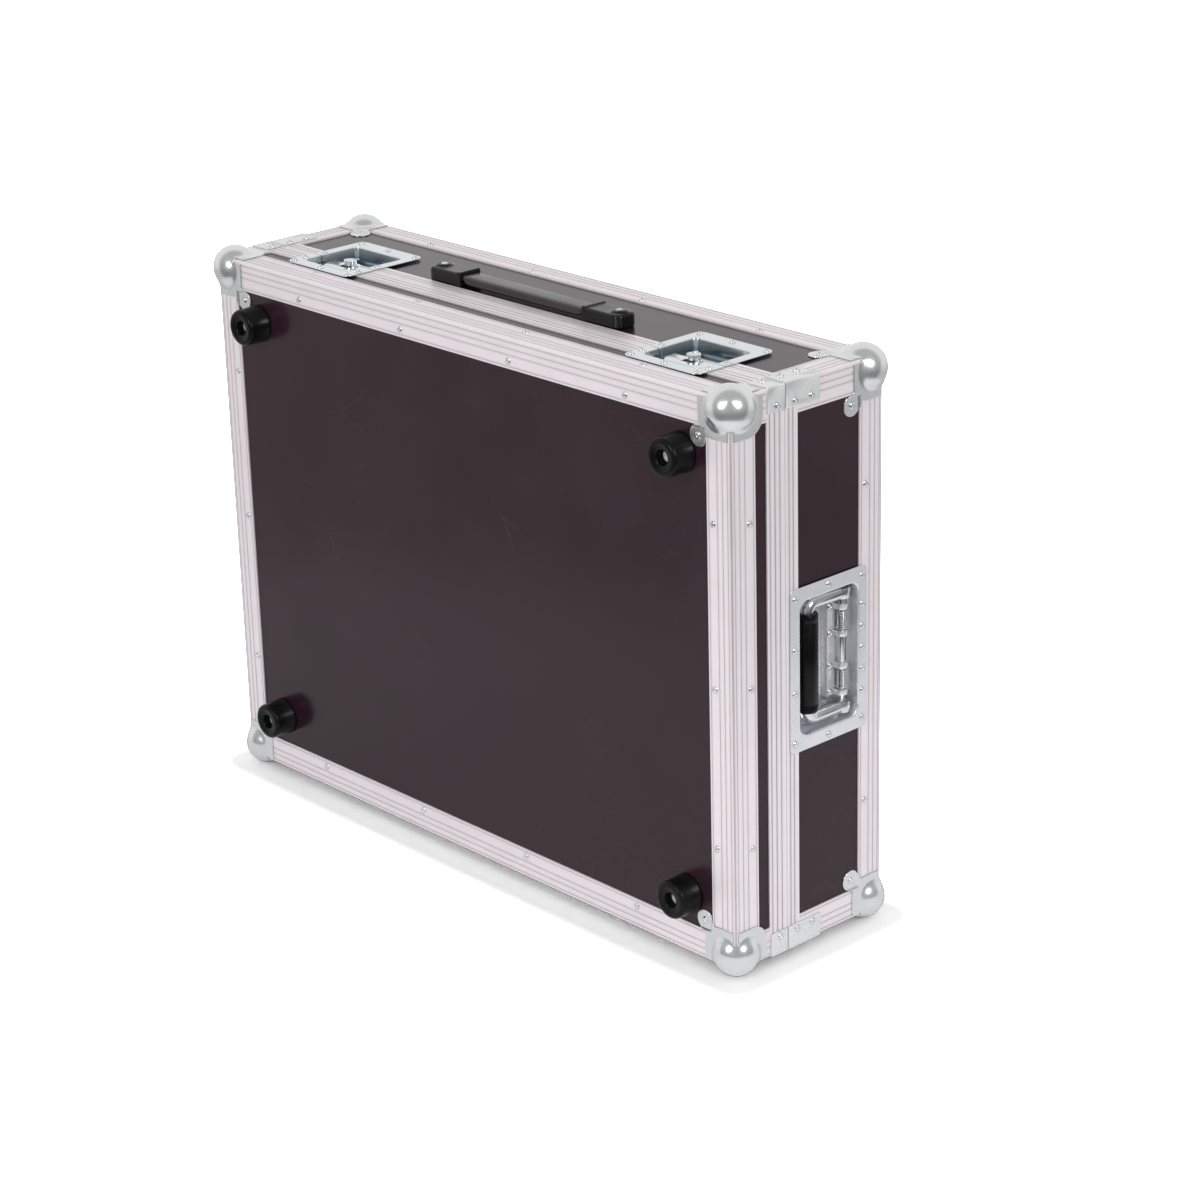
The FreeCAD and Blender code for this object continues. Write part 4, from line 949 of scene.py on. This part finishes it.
zinc_dish = zinc_finish("zinc_dish", 0.2, 0.3, (0.64, 0.665, 0.7), (0.7, 0.7, 0.73), 0.7)
# Painted light: the side recess turns a lighter lavender towards its floor.
painted_recess_shade_and_light(zinc_dish, 0, float(case_half[0]), recess_depth * mm, (0.9, 0.88, 0.95))
dishes = moulded("side_handle_dishes_pressed", zinc_dish, handle_dish_shape, (-24.6, 70.0, -81.0),
                 (2.2, 173.5, 81.0), 0.55, 0.2, side_dish_places())
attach(dishes, "lid")
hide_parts("side_handle_dishes")
eased("side_handle_rods", "lid", zinc_bright, 0.4)
eased("side_handle_brackets", "lid", zinc_sheet, 0.35)
dress(zinc_bright, "side_handle_springs")
grip_rubber = rubber_finish("grip_rubber", (0.003, 0.003, 0.003), 0.22, 1.24)
grip_profile = [
    (6.55, 0.0), (8.9, 0.0), (9.9, 0.5), (10.4, 1.6), (10.5, 3.0), (10.45, 7.0), (10.0, 7.6), (10.0, 8.2),
    (10.45, 8.8), (10.5, 48.0), (10.45, 87.2), (10.0, 87.8), (10.0, 88.4), (10.45, 89.0), (10.5, 93.0),
    (10.4, 94.4), (9.9, 95.5), (8.9, 96.0), (6.55, 96.0), (6.55, 0.0),
]
for side in ("right", "left"):
    eased("side_handle_bail_" + side, "side_bail_" + side, zinc_bright, 0.5)
    low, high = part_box("side_handle_grip_" + side)
    seat = ((low.x + high.x) / 2, (low.y + high.y) / 2, low.z)
    upright = (0.0, 0.0, 1.0)
    sleeve = turned("grip", grip_profile, 48)
    grip = set_copies("side_grip_sleeve_" + side, [(seat, upright)], sleeve, grip_rubber)
    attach(grip, "side_bail_" + side)
    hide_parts("side_handle_grip_" + side)


# Foam sheets
# Open-cell foam cut to the inside of each half and glued to its large panel. The knife leaves it a little
# pillowed at the edges.
foam_columns = 72
foam_rows = 54
rim_roll = 0.004
rim_width = 0.012
foam_swell = 0.0005


def foam_finish():
    """Black foam with open cells."""
    finish, tree, shader = new_finish("black_foam", 0.95)
    place = add_node(tree, "ShaderNodeTexCoord").outputs["Object"]
    cells = add_node(tree, "ShaderNodeTexVoronoi", Vector=place, Scale=420.0)
    colour = tinted(tree, cells.outputs["Distance"], (0.03, 0.03, 0.032, 1), (0.075, 0.075, 0.08, 1))
    tree.links.new(colour, shader.inputs["Base Color"])
    bump = add_node(tree, "ShaderNodeBump", Height=cells.outputs["Distance"], Strength=0.6,
                    Distance=0.0008)
    tree.links.new(bump.outputs[0], shader.inputs["Normal"])
    return finish


def foam_pad(name, node, open_side, finish):
    """A sheet of foam: a fine grid on both faces whose rims roll over to the sides."""
    low, high = (np.array(corner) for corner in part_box(node))
    middle = (low + high) / 2
    half = (high - low) / 2
    points = []
    for face in (1, -1):
        for row in range(foam_rows + 1):
            for column in range(foam_columns + 1):
                across = 2 * column / foam_columns - 1
                up = 2 * row / foam_rows - 1
                depth = half[1] * face
                if face > 0:
                    rim = min((1 - abs(across)) * half[0], (1 - abs(up)) * half[2])
                    swell = foam_swell * math.sin(9.0 * across + 1.3) * math.sin(7.0 * up + 0.4)
                    depth += min(swell, 0.0) - rim_roll * max(0.0, 1 - rim / rim_width) ** 2
                place = middle + half * (across, 0.0, up)
                place[1] += open_side * depth
                points.append(tuple(place))
    size = (foam_rows + 1) * (foam_columns + 1)
    stride = foam_columns + 1
    faces = []
    for row in range(foam_rows):
        for column in range(foam_columns):
            near = row * stride + column
            square = (near, near + 1, near + stride + 1, near + stride)
            faces.append(square)
            faces.append(tuple(size + corner for corner in square[::-1]))
    border = list(range(foam_columns))
    border += [row * stride + foam_columns for row in range(foam_rows)]
    border += [foam_rows * stride + column for column in range(foam_columns, 0, -1)]
    border += [row * stride for row in range(foam_rows, 0, -1)]
    for near, beside in zip(border, border[1:] + border[:1]):
        faces.append((near, beside, size + beside, size + near))
    return new_piece(name, closed_mesh(name, points, faces, 60), finish)


black_foam = foam_finish()
for half, open_side in (("tray", 1), ("lid", -1)):
    pad = foam_pad(half + "_foam_sheet", half + "_foam", open_side, black_foam)
    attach(pad, half)
    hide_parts(half + "_foam")


# Studio
# A white table with a soft shadow under the case, a white surround, and two round soft boxes as in the
# picture, with a card low in front. The shadow is caught on a sheet that only the camera sees and that only
# the room lights, so it stays soft.
def table_sheet(name, drop, ray, clear_from, clear_at):
    """A white sheet under the case that is clear to one kind of ray away from the case."""
    shape = bmesh.new()
    bmesh.ops.create_grid(shape, x_segments=1, y_segments=1, size=6.0)
    mesh = bpy.data.meshes.new(name)
    shape.to_mesh(mesh)
    shape.free()
    finish, tree, shader = new_finish(name + "_white", 0.9)
    shader.inputs["Base Color"].default_value = (0.9, 0.9, 0.9, 1)
    place = add_node(tree, "ShaderNodeTexCoord").outputs["Object"]
    spread = add_node(tree, "ShaderNodeSeparateXYZ", in0=place)
    beyond = []
    for axis in (0, 1):
        away = math_node(tree, "SUBTRACT", spread.outputs[axis], float(case_middle[axis]))
        past = math_node(tree, "SUBTRACT", math_node(tree, "ABSOLUTE", away), float(case_half[axis]))
        beyond.append(math_node(tree, "POWER", math_node(tree, "MAXIMUM", past, 0.0), 2.0))
    distance = math_node(tree, "SQRT", math_node(tree, "ADD", *beyond))
    far = add_node(tree, "ShaderNodeMapRange", {"interpolation_type": "SMOOTHSTEP"},
                   in0=distance, in1=clear_from, in2=clear_at)
    path = add_node(tree, "ShaderNodeLightPath")
    share = math_node(tree, "MULTIPLY", path.outputs[ray], far.outputs[0])
    clear = tree.nodes.new("ShaderNodeBsdfTransparent")
    mix = add_node(tree, "ShaderNodeMixShader", in0=share, in1=shader.outputs[0], in2=clear.outputs[0])
    tree.links.new(mix.outputs[0], tree.nodes["Material Output"].inputs[0])
    sheet = new_piece(name, mesh, finish)
    sheet.location.z = -drop
    return sheet


def soft_box(name, place, target, size, power):
    """A round lamp that faces a point."""
    lamp = bpy.data.lights.new(name, "AREA")
    lamp.shape = "DISK"
    lamp.size = size
    lamp.energy = power
    made = bpy.data.objects.new(name, lamp)
    bpy.context.scene.collection.objects.link(made)
    made.location = place
    made.rotation_euler = (Vector(target) - Vector(place)).to_track_quat("-Z", "Y").to_euler()
    return made


def studio_world():
    """White for the camera and behind the case, and darker in reflections of the camera's own side."""
    world = bpy.data.worlds.new("studio")
    bpy.context.scene.world = world
    world.use_nodes = True
    tree = world.node_tree
    tree.nodes.clear()
    path = add_node(tree, "ShaderNodeLightPath")
    seen = math_node(tree, "MAXIMUM", path.outputs["Is Camera Ray"], path.outputs["Is Transmission Ray"])
    place = add_node(tree, "ShaderNodeTexCoord").outputs["Generated"]
    picture_side = (0.69, -0.63, 0.36)
    facing = add_node(tree, "ShaderNodeVectorMath", {"operation": "DOT_PRODUCT"}, in0=place,
                      in1=picture_side)
    height = add_node(tree, "ShaderNodeSeparateXYZ", in0=place).outputs[2]
    room_tone = add_node(tree, "ShaderNodeMapRange", in0=height, in1=-0.35, in2=0.7,
                         in3=0.17, in4=0.48)
    dim = add_node(tree, "ShaderNodeMapRange", {"interpolation_type": "SMOOTHSTEP"},
                   in0=facing.outputs["Value"], in1=-0.12, in2=0.2, in3=1.0, in4=room_tone.outputs[0])
    below = add_node(tree, "ShaderNodeMapRange", in0=height, in1=-0.3, in2=0.0, in3=0.58, in4=1.0)
    toned = math_node(tree, "MULTIPLY", below.outputs[0], dim.outputs[0])
    glossy = math_node(tree, "MULTIPLY", path.outputs["Is Glossy Ray"], toned)
    white_share = math_node(tree, "MAXIMUM", seen, glossy)
    soft_share = math_node(tree, "MAXIMUM", seen, path.outputs["Is Glossy Ray"])
    room = add_node(tree, "ShaderNodeBackground", Color=(0.97, 0.98, 1.0, 1), Strength=0.66)
    white = add_node(tree, "ShaderNodeBackground", Color=(1, 1, 1, 1), Strength=white_share)
    mix = add_node(tree, "ShaderNodeMixShader", in0=soft_share, in1=room.outputs[0], in2=white.outputs[0])
    end = tree.nodes.new("ShaderNodeOutputWorld")
    tree.links.new(mix.outputs[0], end.inputs[0])


def studio_camera():
    """The camera of the picture, as fitted to the corners of the case."""
    eye = Vector((2.2179, -1.9339, 1.3726))
    azimuth = math.radians(47.656)
    elevation = math.radians(20.849)
    roll = math.radians(-1.568)
    back = Vector((math.sin(azimuth) * math.cos(elevation), -math.cos(azimuth) * math.cos(elevation),
                   math.sin(elevation)))
    right = Vector((0, 0, 1)).cross(back).normalized()
    up = back.cross(right)
    turned_right = right * math.cos(roll) + up * math.sin(roll)
    turned_up = up * math.cos(roll) - right * math.sin(roll)
    camera = bpy.data.cameras.new("camera")
    camera.lens = 96.03
    camera.sensor_width = 36.0
    camera.clip_start = 0.05
    made = bpy.data.objects.new("camera", camera)
    bpy.context.scene.collection.objects.link(made)
    made.matrix_world = Matrix((
        (turned_right.x, turned_up.x, back.x, eye.x),
        (turned_right.y, turned_up.y, back.y, eye.y),
        (turned_right.z, turned_up.z, back.z, eye.z),
        (0, 0, 0, 1),
    ))
    bpy.context.scene.camera = made


table = table_sheet("table", 0.0006, "Is Glossy Ray", 0.5, 0.75)
table.visible_camera = False
shadow_sheet = table_sheet("table_shadow", 0.0003, "Is Camera Ray", 0.018, 0.058)
shadow_sheet.is_shadow_catcher = True
shadow_sheet.visible_diffuse = False
shadow_sheet.visible_glossy = False
shadow_sheet.visible_transmission = False
shadow_sheet.visible_shadow = False
front_box = soft_box("front_box", (0.44, -2.6, 1.76), (0, 0, 0.3), 1.05, 36.0)
side_box = soft_box("side_box", (2.81, -0.22, 1.88), (0, 0, 0.3), 1.05, 36.0)
table_card = soft_box("table_card", (0.9, -1.5, 0.12), (0.1, 0, 0.1), 1.2, 6.5)
table_card.visible_glossy = False
room_lit = bpy.data.collections.new("lit_by_the_room_only")
room_lit.objects.link(shadow_sheet)
room_lit.collection_objects[0].light_linking.link_state = "EXCLUDE"
for lamp in (front_box, side_box, table_card):
    lamp.light_linking.receiver_collection = room_lit
studio_world()
studio_camera()
bpy.context.scene.view_settings.view_transform = "Standard"
